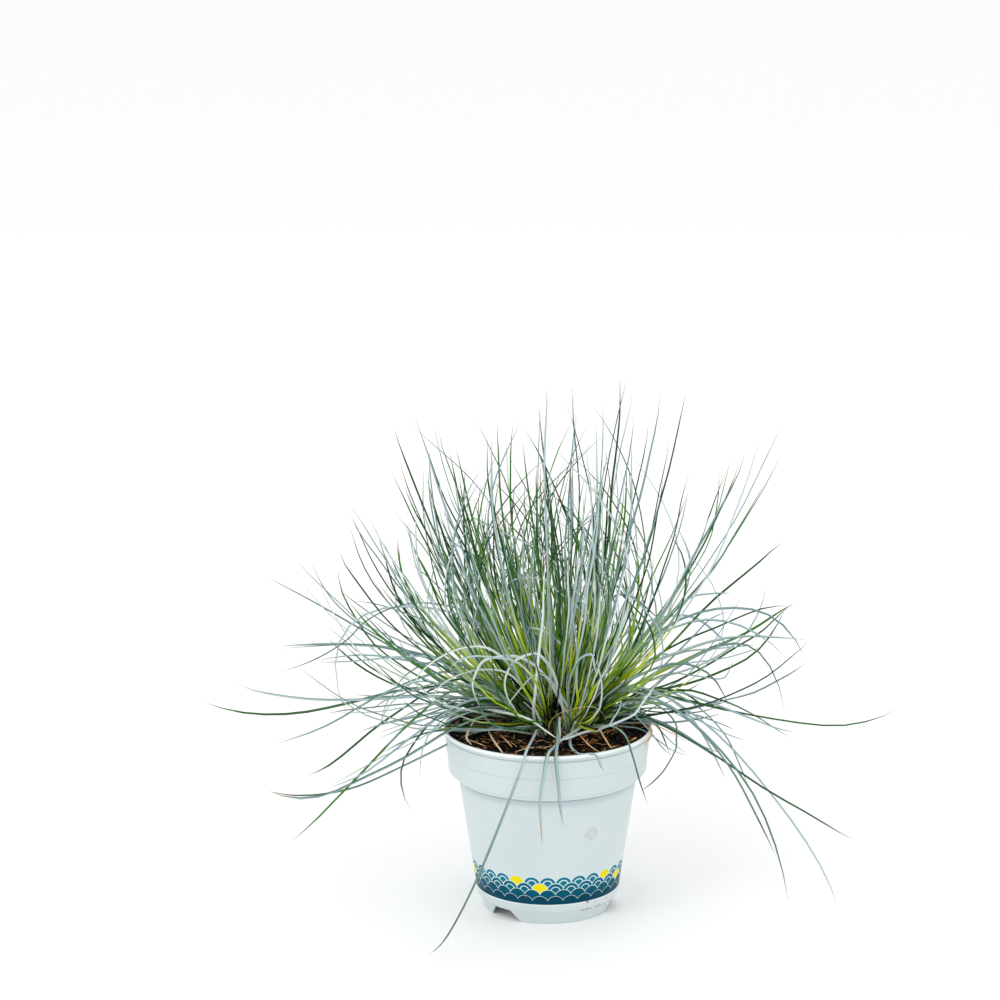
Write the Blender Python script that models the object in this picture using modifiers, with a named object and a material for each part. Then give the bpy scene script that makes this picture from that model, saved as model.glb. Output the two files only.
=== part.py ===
"""A clump of blue fescue growing in a plastic nursery pot, at its real size in metres.

The origin is the middle of the pot's foot, where it stands. +Z is up and -Y is the front.
An azimuth here is 0 at the front and grows towards +X.
"""

import math
import random

import bmesh
import bpy
from mathutils import Matrix, Vector, noise
from mathutils.bvhtree import BVHTree

MM = 0.001
GAP = 0.3 * MM
SEED = 29

# Pot: radii are those of its outside
POT_HEIGHT = 107.4 * MM
RIM_RADIUS = 60.0 * MM
WALL = 1.2 * MM
LIP_ROUNDING = 0.6 * MM
LIP_BOTTOM = 105.0 * MM
BAND_TOP = 104.0 * MM
BAND_TOP_RADIUS = 59.3 * MM
BAND_BOTTOM = 82.6 * MM
BAND_BOTTOM_RADIUS = 57.2 * MM
BODY_TOP = 77.4 * MM
BODY_TOP_RADIUS = 51.5 * MM
BODY_BOTTOM = 13.0 * MM
BODY_BOTTOM_RADIUS = 41.6 * MM
RING_TOP_RADIUS = 41.9 * MM
RING_BOTTOM = 7.6 * MM
RING_BOTTOM_RADIUS = 40.6 * MM
FOOT_TOP_RADIUS = 39.5 * MM
FOOT_RADIUS = 37.0 * MM
FLOOR_UNDERSIDE = 6.2 * MM
FLOOR_TOP = 7.8 * MM
POT_STEPS = 48

# Three gaps in the foot let water run off, and holes in the floor let it out
NOTCHES = 3
FIRST_NOTCH = math.radians(-42)
NOTCH_HALF_ANGLE_BELOW = math.radians(18)
NOTCH_HALF_ANGLE_ABOVE = math.radians(9)
DRAIN_HOLES = 5
FIRST_DRAIN = math.radians(11)
DRAIN_RADIUS = 4.0 * MM
DRAIN_CIRCLE = 26.0 * MM

# Soil: flat where the clump stands, sunk and lumpy round it
SOIL_TOP = 104.2 * MM
SOIL_EDGE = 101.8 * MM
SOIL_LUMPS = 2.2 * MM
SOIL_STEPS = 24

# Crown: one tuft in the middle and two rings of them
CROWN_CENTRE = Vector((8.0 * MM, 14.0 * MM, SOIL_TOP + GAP))
PLUG_RADIUS = 5.4 * MM
PLUG_TOP_RADIUS = 4.9 * MM
PLUG_HEIGHT = 7.0 * MM
INNER_RING = (5, 11.6 * MM, 0.8 * MM)
OUTER_RING = (10, 23.2 * MM, 2.6 * MM)

# Blades
BLADE_WIDTH = 2.0 * MM
BLADE_DEPTH = 1.5 * MM
BLADE_RINGS = (0.06, 0.25, 0.45, 0.66, 0.86)
SPREAD_BLADES = 165
LOWEST_SINE = -0.12
REACH_OUT = 160 * MM
REACH_UP = 192 * MM
BLADE_CLEARANCE = 2.2 * MM
OPEN_HALF_WIDTH = 62 * MM
OPEN_FROM = -14 * MM
OPEN_SLOPE = 0.33
SPARSE_FROM = 68 * MM
SPARSE_BELOW = 235 * MM
HALF_WIDTH = 202.0 * MM
HALF_DEPTH = 185.0 * MM

# Long blades that give the clump its outline: two points on the way and the tip, in millimetres
STRAYS = [
    # Left side
    ((-71, 16, 126), (-136, 23, 110), (-202, 30, 113)),
    ((-62, 1, 124), (-121, -6, 124), (-179, -12, 137)),
    ((-56, -6, 141), (-104, -16, 125), (-156, -27, 104)),
    ((-55, -24, 112), (-106, -52, 90), (-156, -79, 94)),
    ((-53, -19, 134), (-99, -40, 99), (-145, -60, 57)),
    ((-56, 12, 131), (-101, 14, 100), (-142, 20, 70)),
    ((-44, -22, 129), (-83, -45, 109), (-124, -68, 91)),
    ((-44, -14, 127), (-76, -32, 109), (-77, -44, 70)),
    ((-24, -11, 121), (-56, -36, 124), (-72, -49, 88)),
    ((-36, 8, 165), (-101, -1, 175), (-114, -3, 110)),
    ((-45, 27, 133), (-102, 41, 142), (-159, 56, 139)),
    ((-39, 18, 129), (-86, 22, 142), (-136, 27, 138)),
    ((-54, 39, 123), (-112, 63, 149), (-170, 86, 176)),
    # Right side
    ((70, 3, 125), (140, -4, 111), (202, -9, 121)),
    ((56, -17, 131), (104, -43, 97), (136, -60, 21)),
    ((67, -11, 128), (125, -30, 79), (166, -43, 10)),
    ((59, -15, 116), (118, -41, 87), (172, -65, 60)),
    ((53, -14, 122), (73, -38, 110), (50, -55, 83)),
    ((36, -14, 113), (48, -40, 110), (58, -54, 76)),
    ((72, 6, 127), (108, 4, 118), (142, 3, 98)),
    ((57, 30, 133), (97, 43, 169), (140, 57, 203)),
    ((58, 41, 122), (104, 65, 132), (131, 79, 173)),
    ((54, 18, 149), (105, 22, 172), (151, 27, 138)),
    ((52, 32, 132), (96, 50, 152), (144, 69, 160)),
    ((48, 7, 144), (92, -1, 168), (137, -9, 149)),
    ((56, 22, 130), (102, 31, 150), (145, 38, 170)),
    ((52, 11, 138), (99, 8, 156), (150, 4, 157)),
    ((59, -4, 130), (103, -20, 162), (135, -32, 122)),
    ((58, 27, 119), (105, 38, 130), (140, 47, 165)),
    ((42, -4, 130), (76, -22, 148), (104, -37, 126)),
    # Over the front rim
    ((-8, -50, 119), (-25, -81, 77), (-66, -99, 5)),
    ((1, -43, 119), (-2, -67, 105), (-3, -66, 56)),
    ((7, -36, 118), (6, -66, 107), (9, -71, 69)),
    ((16, -34, 115), (26, -54, 114), (32, -66, 99)),
    # Nearest and farthest
    ((14, -50, 154), (22, -115, 182), (26, -185, 190)),
    ((-10, -46, 152), (-32, -100, 178), (-52, -158, 186)),
    ((2, 78, 160), (-8, 134, 166), (-14, 185, 142)),
    ((52, 72, 146), (88, 120, 138), (116, 158, 104)),
]

# Tips of the upper outline, in millimetres
HIGH_TIPS = [
    (14, 60, 298), (0, -20, 313), (50, 60, 296), (64, 0, 304), (80, 20, 302), (-31, -40, 289),
    (-58, 60, 260), (-87, 0, 285), (-74, -40, 300), (134, 60, 227), (134, 0, 287), (-104, 40, 214),
    (-97, 0, 194), (-112, -30, 190), (111, 90, 250), (132, -60, 232), (146, 60, 165), (150, 0, 146),
    (146, -60, 175), (-90, 20, 255), (28, 20, 285), (109, -60, 283), (-25, 100, 264), (30, -110, 290),
]


def azimuth_of(vector):
    return math.atan2(vector.x, -vector.y)


def heading(azimuth):
    return Vector((math.sin(azimuth), -math.cos(azimuth), 0))


def sideways(azimuth):
    return Vector((math.cos(azimuth), math.sin(azimuth), 0))


# Materials and objects

def material(name, colour, roughness):
    made = bpy.data.materials.new(name)
    made.use_nodes = True
    shader = made.node_tree.nodes["Principled BSDF"]
    shader.inputs["Base Color"].default_value = (*colour, 1)
    shader.inputs["Roughness"].default_value = roughness
    made.diffuse_color = (*colour, 1)
    return made


def collection(name):
    made = bpy.data.collections.new(name)
    bpy.context.scene.collection.children.link(made)
    return made


def add_object(name, mesh, home, look=None):
    made = bpy.data.objects.new(name, mesh)
    home.objects.link(made)
    if look:
        mesh.materials.append(look)
    return made


def finish_mesh(shape, name):
    mesh = bpy.data.meshes.new(name)
    shape.to_mesh(mesh)
    shape.free()
    return mesh


def turned(name, profile, closed, steps, home, look):
    """Turn a profile of (radius, height) points round Z."""
    mesh = bpy.data.meshes.new(name)
    edges = [(i, i + 1) for i in range(len(profile) - 1)]
    if closed:
        edges.append((len(profile) - 1, 0))
    mesh.from_pydata([(radius, 0, height) for radius, height in profile], edges, [])
    made = add_object(name, mesh, home, look)
    screw = made.modifiers.new("turn", "SCREW")
    screw.steps = steps
    screw.render_steps = steps
    screw.use_merge_vertices = True
    screw.merge_threshold = 0.1 * MM
    return made


# Pot

def pot_profile():
    """Section of the shell: over the rim, down the outside, under the floor and up the inside."""
    floor_edge = BODY_BOTTOM_RADIUS - 2 * WALL
    return [
        (RIM_RADIUS - WALL, POT_HEIGHT - LIP_ROUNDING),
        (RIM_RADIUS - LIP_ROUNDING, POT_HEIGHT),
        (RIM_RADIUS, POT_HEIGHT - LIP_ROUNDING),
        (RIM_RADIUS, LIP_BOTTOM),
        (BAND_TOP_RADIUS, BAND_TOP),
        (BAND_BOTTOM_RADIUS, BAND_BOTTOM),
        (BODY_TOP_RADIUS, BODY_TOP),
        (BODY_BOTTOM_RADIUS, BODY_BOTTOM),
        (RING_TOP_RADIUS, BODY_BOTTOM - 0.6 * MM),
        (RING_BOTTOM_RADIUS, RING_BOTTOM),
        (FOOT_TOP_RADIUS, RING_BOTTOM - 0.5 * MM),
        (FOOT_RADIUS, 0),
        (FOOT_RADIUS - WALL, 0),
        (FOOT_TOP_RADIUS - WALL - 0.3 * MM, FLOOR_UNDERSIDE),
        (0, FLOOR_UNDERSIDE),
        (0, FLOOR_TOP),
        (floor_edge, FLOOR_TOP),
        (BODY_TOP_RADIUS - WALL, BODY_TOP + 0.5 * MM),
        (BAND_BOTTOM_RADIUS - WALL, BAND_BOTTOM + 0.5 * MM),
        (BAND_TOP_RADIUS - WALL, BAND_TOP),
    ]


def notch_cutter(azimuth, home):
    """A wedge through the foot, wider at the ground."""
    near = 30 * MM
    far = 46 * MM
    top = FLOOR_UNDERSIDE + 0.3 * MM
    shape = bmesh.new()
    bmesh.ops.create_cube(shape, size=2)
    for vertex in shape.verts:
        low = vertex.co.z < 0
        half_angle = NOTCH_HALF_ANGLE_BELOW if low else NOTCH_HALF_ANGLE_ABOVE
        half_width = FOOT_RADIUS * math.tan(half_angle)
        across = math.copysign(half_width, vertex.co.x)
        out = far if vertex.co.y > 0 else near
        vertex.co = (across, -out, -1 * MM if low else top)
    bmesh.ops.recalc_face_normals(shape, faces=shape.faces)
    bmesh.ops.rotate(shape, cent=(0, 0, 0), matrix=Matrix.Rotation(azimuth, 3, "Z"), verts=shape.verts)
    return add_object("foot_notch_cutter", finish_mesh(shape, "foot_notch"), home)


def drain_cutter(azimuth, home):
    shape = bmesh.new()
    middle = heading(azimuth) * DRAIN_CIRCLE + Vector((0, 0, FLOOR_TOP))
    bmesh.ops.create_cone(
        shape, cap_ends=True, segments=12, radius1=DRAIN_RADIUS, radius2=DRAIN_RADIUS,
        depth=8 * MM, matrix=Matrix.Translation(middle),
    )
    return add_object("drain_cutter", finish_mesh(shape, "drain"), home)


def make_pot(home, cutters):
    look = material("pot_plastic", (0.66, 0.74, 0.77), 0.4)
    pot = turned("pot", pot_profile(), True, POT_STEPS, home, look)
    tools = [notch_cutter(FIRST_NOTCH + math.tau * i / NOTCHES, cutters) for i in range(NOTCHES)]
    tools += [drain_cutter(FIRST_DRAIN + math.tau * i / DRAIN_HOLES, cutters) for i in range(DRAIN_HOLES)]
    for tool in tools:
        tool.hide_render = True
        tool.display_type = "WIRE"
        cut = pot.modifiers.new(tool.name, "BOOLEAN")
        cut.operation = "DIFFERENCE"
        cut.object = tool
    return pot


# Soil

def make_soil(home):
    look = material("potting_soil", (0.045, 0.024, 0.012), 0.95)
    inset = WALL + GAP
    crown_reach = OUTER_RING[1] + 2 * PLUG_RADIUS
    profile = [(0, SOIL_TOP)]
    profile += [(radius * MM, SOIL_TOP) for radius in (12, 24, 34, 42)]
    profile += [
        (50 * MM, (SOIL_TOP + SOIL_EDGE) / 2),
        (BAND_TOP_RADIUS - inset - 0.35 * MM, SOIL_EDGE),
        (BAND_BOTTOM_RADIUS - inset - 0.1 * MM, BAND_BOTTOM + 0.6 * MM),
        (BODY_TOP_RADIUS - inset - 0.1 * MM, BODY_TOP + 0.6 * MM),
        (BODY_BOTTOM_RADIUS - 2 * WALL - GAP, FLOOR_TOP + GAP),
        (0, FLOOR_TOP + GAP),
    ]
    soil = turned("soil", profile, False, SOIL_STEPS, home, look)
    evaluated = soil.evaluated_get(bpy.context.evaluated_depsgraph_get())
    mesh = bpy.data.meshes.new_from_object(evaluated)
    for vertex in mesh.vertices:
        from_crown = (vertex.co - CROWN_CENTRE).to_2d().length
        on_top = vertex.co.z > SOIL_EDGE - 0.1 * MM
        if on_top and from_crown > crown_reach:
            vertex.co.z -= SOIL_LUMPS * abs(noise.noise(vertex.co / (9 * MM)))
    bpy.data.objects.remove(soil)
    return add_object("soil", mesh, home)


# Blades: each is a cubic curve, given by its four control points

def curve_point(controls, t):
    a, b, c, d = controls
    s = 1 - t
    return a * s**3 + b * (3 * s * s * t) + c * (3 * s * t * t) + d * t**3


def curve_direction(controls, t):
    a, b, c, d = controls
    s = 1 - t
    return ((b - a) * (s * s) + (c - b) * (2 * s * t) + (d - c) * (t * t)).normalized()


def controls_through(root, first, second, tip):
    """Control points of the curve that passes its two middle points a third and two thirds along."""
    b = (root * -5 + first * 18 - second * 9 + tip * 2) / 6
    c = (root * 2 - first * 9 + second * 18 - tip * 5) / 6
    return root, b, c, tip


def controls_arched(root, tip, bow, sway):
    """Control points of a blade that starts steeper than its chord by bow, and swings to a side by sway."""
    chord = tip - root
    azimuth = azimuth_of(chord)
    across = sideways(azimuth)
    rise = Matrix.Rotation(bow, 3, across)
    fall = Matrix.Rotation(-bow, 3, across)
    swing = across * (chord.length * math.tan(sway) / 3)
    return root, root + rise @ chord / 3 + swing, tip - fall @ chord / 3 + swing, tip


def blade_ring(controls, t, width, azimuth):
    """Three points round the blade: its two edges and the keel under its fold."""
    middle = curve_point(controls, t)
    along = curve_direction(controls, t)
    side = sideways(azimuth)
    side = (side - along * side.dot(along)).normalized()
    keel = side.cross(along)
    depth = width * BLADE_DEPTH / BLADE_WIDTH
    return [middle + side * (width / 2), middle - side * (width / 2), middle + keel * depth]


def blade_width(t):
    """Full width to two thirds of the way, then narrowing to the tip."""
    return BLADE_WIDTH * min(1, 0.25 + 2.2 * (1 - t))


def blade_rings(controls, extra=0):
    azimuth = azimuth_of(controls[3] - controls[0])
    return [blade_ring(controls, t, blade_width(t) + extra, azimuth) for t in BLADE_RINGS]


# Clear way: a blade must pass the pot, the soil and every other blade

def solid_tree(rings, tip):
    """Search tree of the prism through these rings, up to its tip."""
    points = [point for ring in rings for point in ring] + [tip]
    faces = [(0, 1, 2)]
    for level in range(len(rings) - 1):
        low = 3 * level
        for i in range(3):
            j = (i + 1) % 3
            faces.append((low + i, low + j, low + 3 + j, low + 3 + i))
    last = 3 * (len(rings) - 1)
    faces += [(last + i, last + (i + 1) % 3, len(points) - 1) for i in range(3)]
    return BVHTree.FromPolygons(points, faces)


class Blade:
    """A blade's curve, with search trees of its whole length and of its part above the crown."""

    def __init__(self, tuft, controls):
        self.tuft = tuft
        self.controls = controls
        rings = blade_rings(controls, extra=2 * GAP)
        root = blade_ring(controls, 0, PLUG_TOP_RADIUS / 4, azimuth_of(controls[3] - controls[0]))
        self.whole = solid_tree([root] + rings, controls[3])
        self.above = solid_tree(rings, controls[3])

    def touches(self, other):
        if self.tuft is other.tuft:
            return bool(self.above.overlap(other.above))
        return bool(self.whole.overlap(other.whole))


def clear_of_pot(point):
    """Whether a point of a blade's middle line is well off the pot's rim and the soil."""
    radius = point.to_2d().length
    if radius > RIM_RADIUS + BLADE_CLEARANCE:
        return True
    on_rim = radius > BAND_TOP_RADIUS - WALL - BLADE_CLEARANCE
    return point.z > (POT_HEIGHT if on_rim else SOIL_TOP) + BLADE_CLEARANCE


def clears_pot(controls):
    corners = [curve_point(controls, t) for t in (*BLADE_RINGS, 1)]
    parts = 16
    for start, end in zip(corners, corners[1:]):
        if not all(clear_of_pot(start.lerp(end, i / parts)) for i in range(parts + 1)):
            return False
    return True


def leaves_soil_open(controls):
    """Whether a blade keeps off the bare soil in front of the crown, as seen from a little above."""
    for i in range(13):
        point = curve_point(controls, i / 12)
        if point.y < OPEN_FROM and abs(point.x) < OPEN_HALF_WIDTH:
            if point.z < SOIL_TOP + 3 * MM + OPEN_SLOPE * (OPEN_FROM - point.y):
                return False
    return True


def inside_box(tip):
    slack = 0.01 * MM
    inside = abs(tip.x) < HALF_WIDTH + slack and abs(tip.y) < HALF_DEPTH + slack
    return inside and tip.z > 2 * MM


# Tufts

class Tuft:
    """A plug of sheaths at the crown, and the targets that its blades reach for."""

    def __init__(self, name, place, lean):
        self.name = name
        self.azimuth = azimuth_of(place - CROWN_CENTRE) if lean else 0
        self.base = place
        self.top = place + heading(self.azimuth) * lean + Vector((0, 0, PLUG_HEIGHT))
        self.targets = []
        self.blades = []

    def order_targets(self):
        """Give each target the side of the plug's top from which it can be reached without crossing."""
        middle = sum(((target["tip"] - self.top).normalized() for target in self.targets), Vector()).normalized()
        across = sideways(azimuth_of(middle))
        steep = middle.cross(across)
        if steep.z < 0:
            steep.negate()
        for target in self.targets:
            way = (target["tip"] - self.top).normalized()
            right = way.dot(across)
            down = -way.dot(steep)
            target["side"] = azimuth_of(middle) + math.atan2(right, down)
        self.targets.sort(key=lambda target: target["side"] % math.tau)
        count = len(self.targets)
        offset = sum(
            math.remainder(target["side"] - math.tau * i / count, math.tau)
            for i, target in enumerate(self.targets)
        ) / count
        for i, target in enumerate(self.targets):
            target["sector"] = offset + math.tau * i / count


def ring_of_tufts(name, count, radius, lean):
    made = []
    for i in range(count):
        place = CROWN_CENTRE + heading(math.tau * (i + 0.5) / count) * radius
        made.append(Tuft(f"{name}_{i + 1}", place, lean))
    return made


def nearest_tuft(tufts, tip):
    """The tuft whose place in the crown matches the direction of a tip."""
    way = (tip - CROWN_CENTRE).normalized()
    if way.z > 0.96:
        return tufts["centre"][0]
    ring = tufts["inner"] if way.z > 0.70 else tufts["outer"]
    azimuth = azimuth_of(way)
    return min(ring, key=lambda tuft: abs(math.remainder(tuft.azimuth - azimuth, math.tau)))


def spread_tips(rng):
    """Tips spread evenly round the clump, denser towards the top."""
    golden = math.pi * (3 - math.sqrt(5))
    tips = []
    for i in range(SPREAD_BLADES):
        sine = LOWEST_SINE + (0.99 - LOWEST_SINE) * ((i + 0.5) / SPREAD_BLADES) ** 0.75
        cosine = math.sqrt(1 - sine * sine)
        reach = REACH_OUT + (REACH_UP - REACH_OUT) * max(0, sine)
        reach *= rng.uniform(0.76, 1.0)
        azimuth = i * golden + rng.uniform(-0.1, 0.1)
        tips.append(CROWN_CENTRE + (heading(azimuth) * cosine + Vector((0, 0, sine))) * reach)
    return tips


def near_another(tip, others, angle):
    way = tip - CROWN_CENTRE
    return any(way.angle(other - CROWN_CENTRE) < angle for other in others)


def on_sparse_flank(tip):
    return tip.x > SPARSE_FROM and tip.z < SPARSE_BELOW


def share_out_targets(tufts, rng):
    strays = [[Vector(point) * MM for point in points] for points in STRAYS]
    high = [Vector(tip) * MM for tip in HIGH_TIPS]
    taken = [points[2] for points in strays] + high
    for points in strays:
        nearest_tuft(tufts, points[2]).targets.append({"tip": points[2], "way": points[:2], "rank": 0})
    spread = [tip for tip in spread_tips(rng) if not near_another(tip, taken, math.radians(7))]
    spread = [tip for tip in spread if not on_sparse_flank(tip)]
    for rank, tips in ((1, high), (2, spread)):
        for tip in tips:
            nearest_tuft(tufts, tip).targets.append({"tip": tip, "way": None, "rank": rank})


def try_blade(tuft, target, rng, attempt):
    """Draw one blade for a target, with more change in each attempt."""
    root = tuft.top + heading(target["sector"]) * (0.66 * PLUG_TOP_RADIUS)
    change = min(attempt, 30) * 0.4 * MM
    shift = Vector([rng.uniform(-change, change) for _ in range(3)])
    tip = target["tip"]
    if target["way"]:
        first, second = [point + shift for point in target["way"]]
        return controls_through(root, first, second, tip)
    if attempt > 6:
        tip = tip + shift
    elevation = math.asin((tip - root).normalized().z)
    bow = math.radians(rng.uniform(0.8, 1.2) * (36 - 30 * max(0, math.sin(elevation))))
    sway = math.radians(rng.uniform(-14, 14))
    return controls_arched(root, tip, bow, sway)


def grow_blades(tufts, rng):
    """Place every blade where it clears the pot and the others; the strays and then the high tips go first."""
    grown = []
    waiting = [(tuft, target) for tuft in tufts for target in tuft.targets]
    waiting.sort(key=lambda pair: pair[1]["rank"])
    for tuft, target in waiting:
        for attempt in range(90):
            controls = try_blade(tuft, target, rng, attempt)
            if not clears_pot(controls) or not inside_box(controls[3]):
                continue
            if target["rank"] == 2 and not leaves_soil_open(controls):
                continue
            blade = Blade(tuft, controls)
            if not any(blade.touches(other) for other in grown):
                grown.append(blade)
                tuft.blades.append((target["sector"], blade))
                break
        else:
            tip = [round(value / MM) for value in target["tip"]]
            print("no clear way for a blade of", tuft.name, "to", tip, "of rank", target["rank"])
    return grown


def grow_from_face(shape, face, controls):
    """Extrude a face of the plug along a blade's curve, and bring it to a point at the tip."""
    for ring in blade_rings(controls):
        face = bmesh.ops.extrude_discrete_faces(shape, faces=[face])["faces"][0]
        corners = [loop.vert for loop in face.loops]
        centre = sum((corner.co for corner in corners), Vector()) / 3
        middle = sum(ring, Vector()) / 3
        turns = []
        for turn in range(3):
            pairs = [(corners[i], ring[(i + turn) % 3]) for i in range(3)]
            mismatch = sum(((corner.co - centre) - (point - middle)).length for corner, point in pairs)
            turns.append((mismatch, turn, pairs))
        for corner, point in min(turns)[2]:
            corner.co = point
    tip = bmesh.ops.poke(shape, faces=[face])["verts"][0]
    tip.co = controls[3]


def make_tuft(tuft, home, look):
    count = max(6, len(tuft.targets))
    shape = bmesh.new()
    start = tuft.targets[0]["sector"] if tuft.targets else 0
    turn = Matrix.Rotation(start - math.pi / 2 - math.pi / count, 4, "Z")
    middle = tuft.base + Vector((0, 0, PLUG_HEIGHT / 2))
    bmesh.ops.create_cone(
        shape, cap_ends=True, segments=count, radius1=PLUG_RADIUS, radius2=PLUG_TOP_RADIUS,
        depth=PLUG_HEIGHT, matrix=Matrix.Translation(middle) @ turn,
    )
    top_face = max(shape.faces, key=lambda face: face.calc_center_median().z)
    for vertex in top_face.verts:
        vertex.co += (tuft.top - tuft.base).to_2d().to_3d()
    sectors = bmesh.ops.poke(shape, faces=[top_face])["faces"]
    bmesh.ops.inset_individual(shape, faces=sectors, thickness=0.4 * MM)
    free = {azimuth_of(face.calc_center_median() - tuft.top): face for face in sectors}
    for sector, blade in tuft.blades:
        nearest = min(free, key=lambda azimuth: abs(math.remainder(azimuth - sector, math.tau)))
        grow_from_face(shape, free.pop(nearest), blade.controls)
    return add_object(tuft.name, finish_mesh(shape, tuft.name), home, look)


def main():
    for old in list(bpy.data.objects):
        bpy.data.objects.remove(old)
    home = collection("potted_blue_fescue")
    cutters = collection("cutters")
    make_pot(home, cutters)
    make_soil(home)
    rng = random.Random(SEED)
    tufts = {
        "centre": [Tuft("tuft_centre", CROWN_CENTRE, 0)],
        "inner": ring_of_tufts("tuft_inner", *INNER_RING),
        "outer": ring_of_tufts("tuft_outer", *OUTER_RING),
    }
    share_out_targets(tufts, rng)
    everyone = [tuft for ring in tufts.values() for tuft in ring]
    for tuft in everyone:
        tuft.order_targets()
    grown = grow_blades(everyone, rng)
    print(len(grown), "blades,", {tuft.name: len(tuft.blades) for tuft in everyone})
    look = material("fescue_leaf", (0.30, 0.42, 0.40), 0.6)
    for tuft in everyone:
        make_tuft(tuft, home, look)


main()
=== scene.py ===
# %% [markdown]
# A clump of blue fescue in a plastic nursery pot, dressed for a studio picture.
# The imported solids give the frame: every pot wall and every tuft is already at its real place and
# size. This lesson keeps those places and makes the surfaces: a moulded pot, loose potting soil and
# several hundred fine folded leaves.

# %% Load the frame
import math
import random
from functools import partial

import bmesh
import bpy
from mathutils import Matrix, Vector, noise
from mathutils.bvhtree import BVHTree


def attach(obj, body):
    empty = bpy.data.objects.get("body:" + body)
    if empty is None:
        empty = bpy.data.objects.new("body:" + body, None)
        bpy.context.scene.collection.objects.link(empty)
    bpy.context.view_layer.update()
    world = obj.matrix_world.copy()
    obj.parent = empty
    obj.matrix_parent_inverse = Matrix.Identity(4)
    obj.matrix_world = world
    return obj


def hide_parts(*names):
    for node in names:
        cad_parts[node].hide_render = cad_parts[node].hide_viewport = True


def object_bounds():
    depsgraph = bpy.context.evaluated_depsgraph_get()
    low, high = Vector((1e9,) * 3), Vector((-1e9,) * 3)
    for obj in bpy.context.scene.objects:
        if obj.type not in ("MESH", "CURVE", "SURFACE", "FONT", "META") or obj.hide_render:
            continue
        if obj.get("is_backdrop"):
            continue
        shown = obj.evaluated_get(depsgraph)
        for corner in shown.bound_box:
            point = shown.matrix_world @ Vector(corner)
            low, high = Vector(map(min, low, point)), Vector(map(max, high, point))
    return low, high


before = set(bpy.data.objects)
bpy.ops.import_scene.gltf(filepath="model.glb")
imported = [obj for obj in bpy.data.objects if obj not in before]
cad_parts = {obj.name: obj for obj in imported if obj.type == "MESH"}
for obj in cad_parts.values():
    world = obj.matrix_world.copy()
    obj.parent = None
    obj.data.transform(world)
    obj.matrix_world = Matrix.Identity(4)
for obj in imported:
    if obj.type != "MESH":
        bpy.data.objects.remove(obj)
cad_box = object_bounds()
MM = 0.001
print("nodes in the frame:", sorted(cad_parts))

# %% [markdown]
# A shader adds up linear light, but a colour picked in an image editor is sRGB. One function turns the
# picked colour into the linear one.

# %% Colours
def linear(hex_colour):
    """An sRGB colour such as "#d9e2e4" as linear RGBA."""
    levels = [int(hex_colour[i:i + 2], 16) / 255 for i in (1, 3, 5)]
    return (*[v / 12.92 if v <= 0.04045 else ((v + 0.055) / 1.055) ** 2.4 for v in levels], 1.0)


print("middle grey in linear light:", round(linear("#808080")[0], 3))

# %% [markdown]
# A material is a chain of nodes. It could be wired by hand in the Shader Editor, but as a list of steps
# it can be read and changed. One small function adds a node of any kind with its settings, and fills
# its inputs, by name or in their order, with values or with the nodes that come before it.

# %% Nodes and materials
def wire(made, inputs):
    """Fill a node's inputs, by name or in their order, with values or with other nodes' outputs."""
    if isinstance(inputs, dict):
        pairs = [(made.inputs[name], value) for name, value in inputs.items()]
    else:
        pairs = zip([socket for socket in made.inputs if socket.enabled], inputs)
    for socket, value in pairs:
        if isinstance(value, bpy.types.Node):
            value = next(output for output in value.outputs if output.enabled)
        if isinstance(value, bpy.types.NodeSocket):
            made.id_data.links.new(value, socket)
        else:
            socket.default_value = value


def put(tree, kind, inputs=(), stops=(), **settings):
    """Add a shader node with its settings and colour stops, and fill its inputs."""
    made = tree.nodes.new("ShaderNode" + kind)
    for name, value in settings.items():
        setattr(made, name, value)
    if stops:
        elements = made.color_ramp.elements
        while len(elements) < len(stops):
            elements.new(0.5)
        for element, (place, colour) in zip(elements, stops):
            element.position = place
            element.color = linear(colour)
    wire(made, inputs)
    return made


def new_material(name):
    """A new material, the function that adds nodes to it, and its shader."""
    made = bpy.data.materials.new(name)
    made.use_nodes = True
    tree = made.node_tree
    return made, partial(put, tree), tree.nodes["Principled BSDF"]


print("helpers for materials: wire, put and new_material")

# %% [markdown]
# In Blender an object is only a holder: what it shows is its mesh, lens or light. A mesh is easiest to
# shape as a bmesh, which lets single points and faces be added, and is then written to the holder.

# %% Objects
def add_object(name, data, *materials):
    """An object that holds a mesh, a lens or a light, in the scene."""
    made = bpy.data.objects.new(name, data)
    bpy.context.scene.collection.objects.link(made)
    for look in materials:
        data.materials.append(look)
    return made


def object_from(shape, name, *materials):
    """An object made from a finished bmesh."""
    mesh = bpy.data.meshes.new(name)
    shape.to_mesh(mesh)
    shape.free()
    return add_object(name, mesh, *materials)


print("helpers for objects: add_object and object_from")

# %% [markdown]
# The camera comes first, because it decides how fine each piece has to be. The picture was taken with
# a long lens from a little above the rim, so the pot's level rings show as flat ellipses. The camera's
# place was found by fitting those rings; it stands 1.9 m away and looks down by 13 degrees.

# %% Camera
CAMERA_PLACE = Vector((0, -1.909, 0.692))
CAMERA_LENS = 124.3
LOOK_DOWN = math.radians(13.29)
LOOK_LEFT = math.radians(0.80)
CAMERA_ROLL = math.radians(-0.30)

lens = bpy.data.cameras.new("studio_camera")
lens.lens = CAMERA_LENS
camera = add_object("studio_camera", lens)
camera.location = CAMERA_PLACE
aim = Matrix.Rotation(LOOK_LEFT, 4, "Z") @ Matrix.Rotation(math.pi / 2 - LOOK_DOWN, 4, "X")
camera.rotation_euler = (aim @ Matrix.Rotation(CAMERA_ROLL, 4, "Z")).to_euler()
bpy.context.scene.camera = camera
print("lens", CAMERA_LENS, "mm at", tuple(round(v, 3) for v in camera.location))

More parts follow.
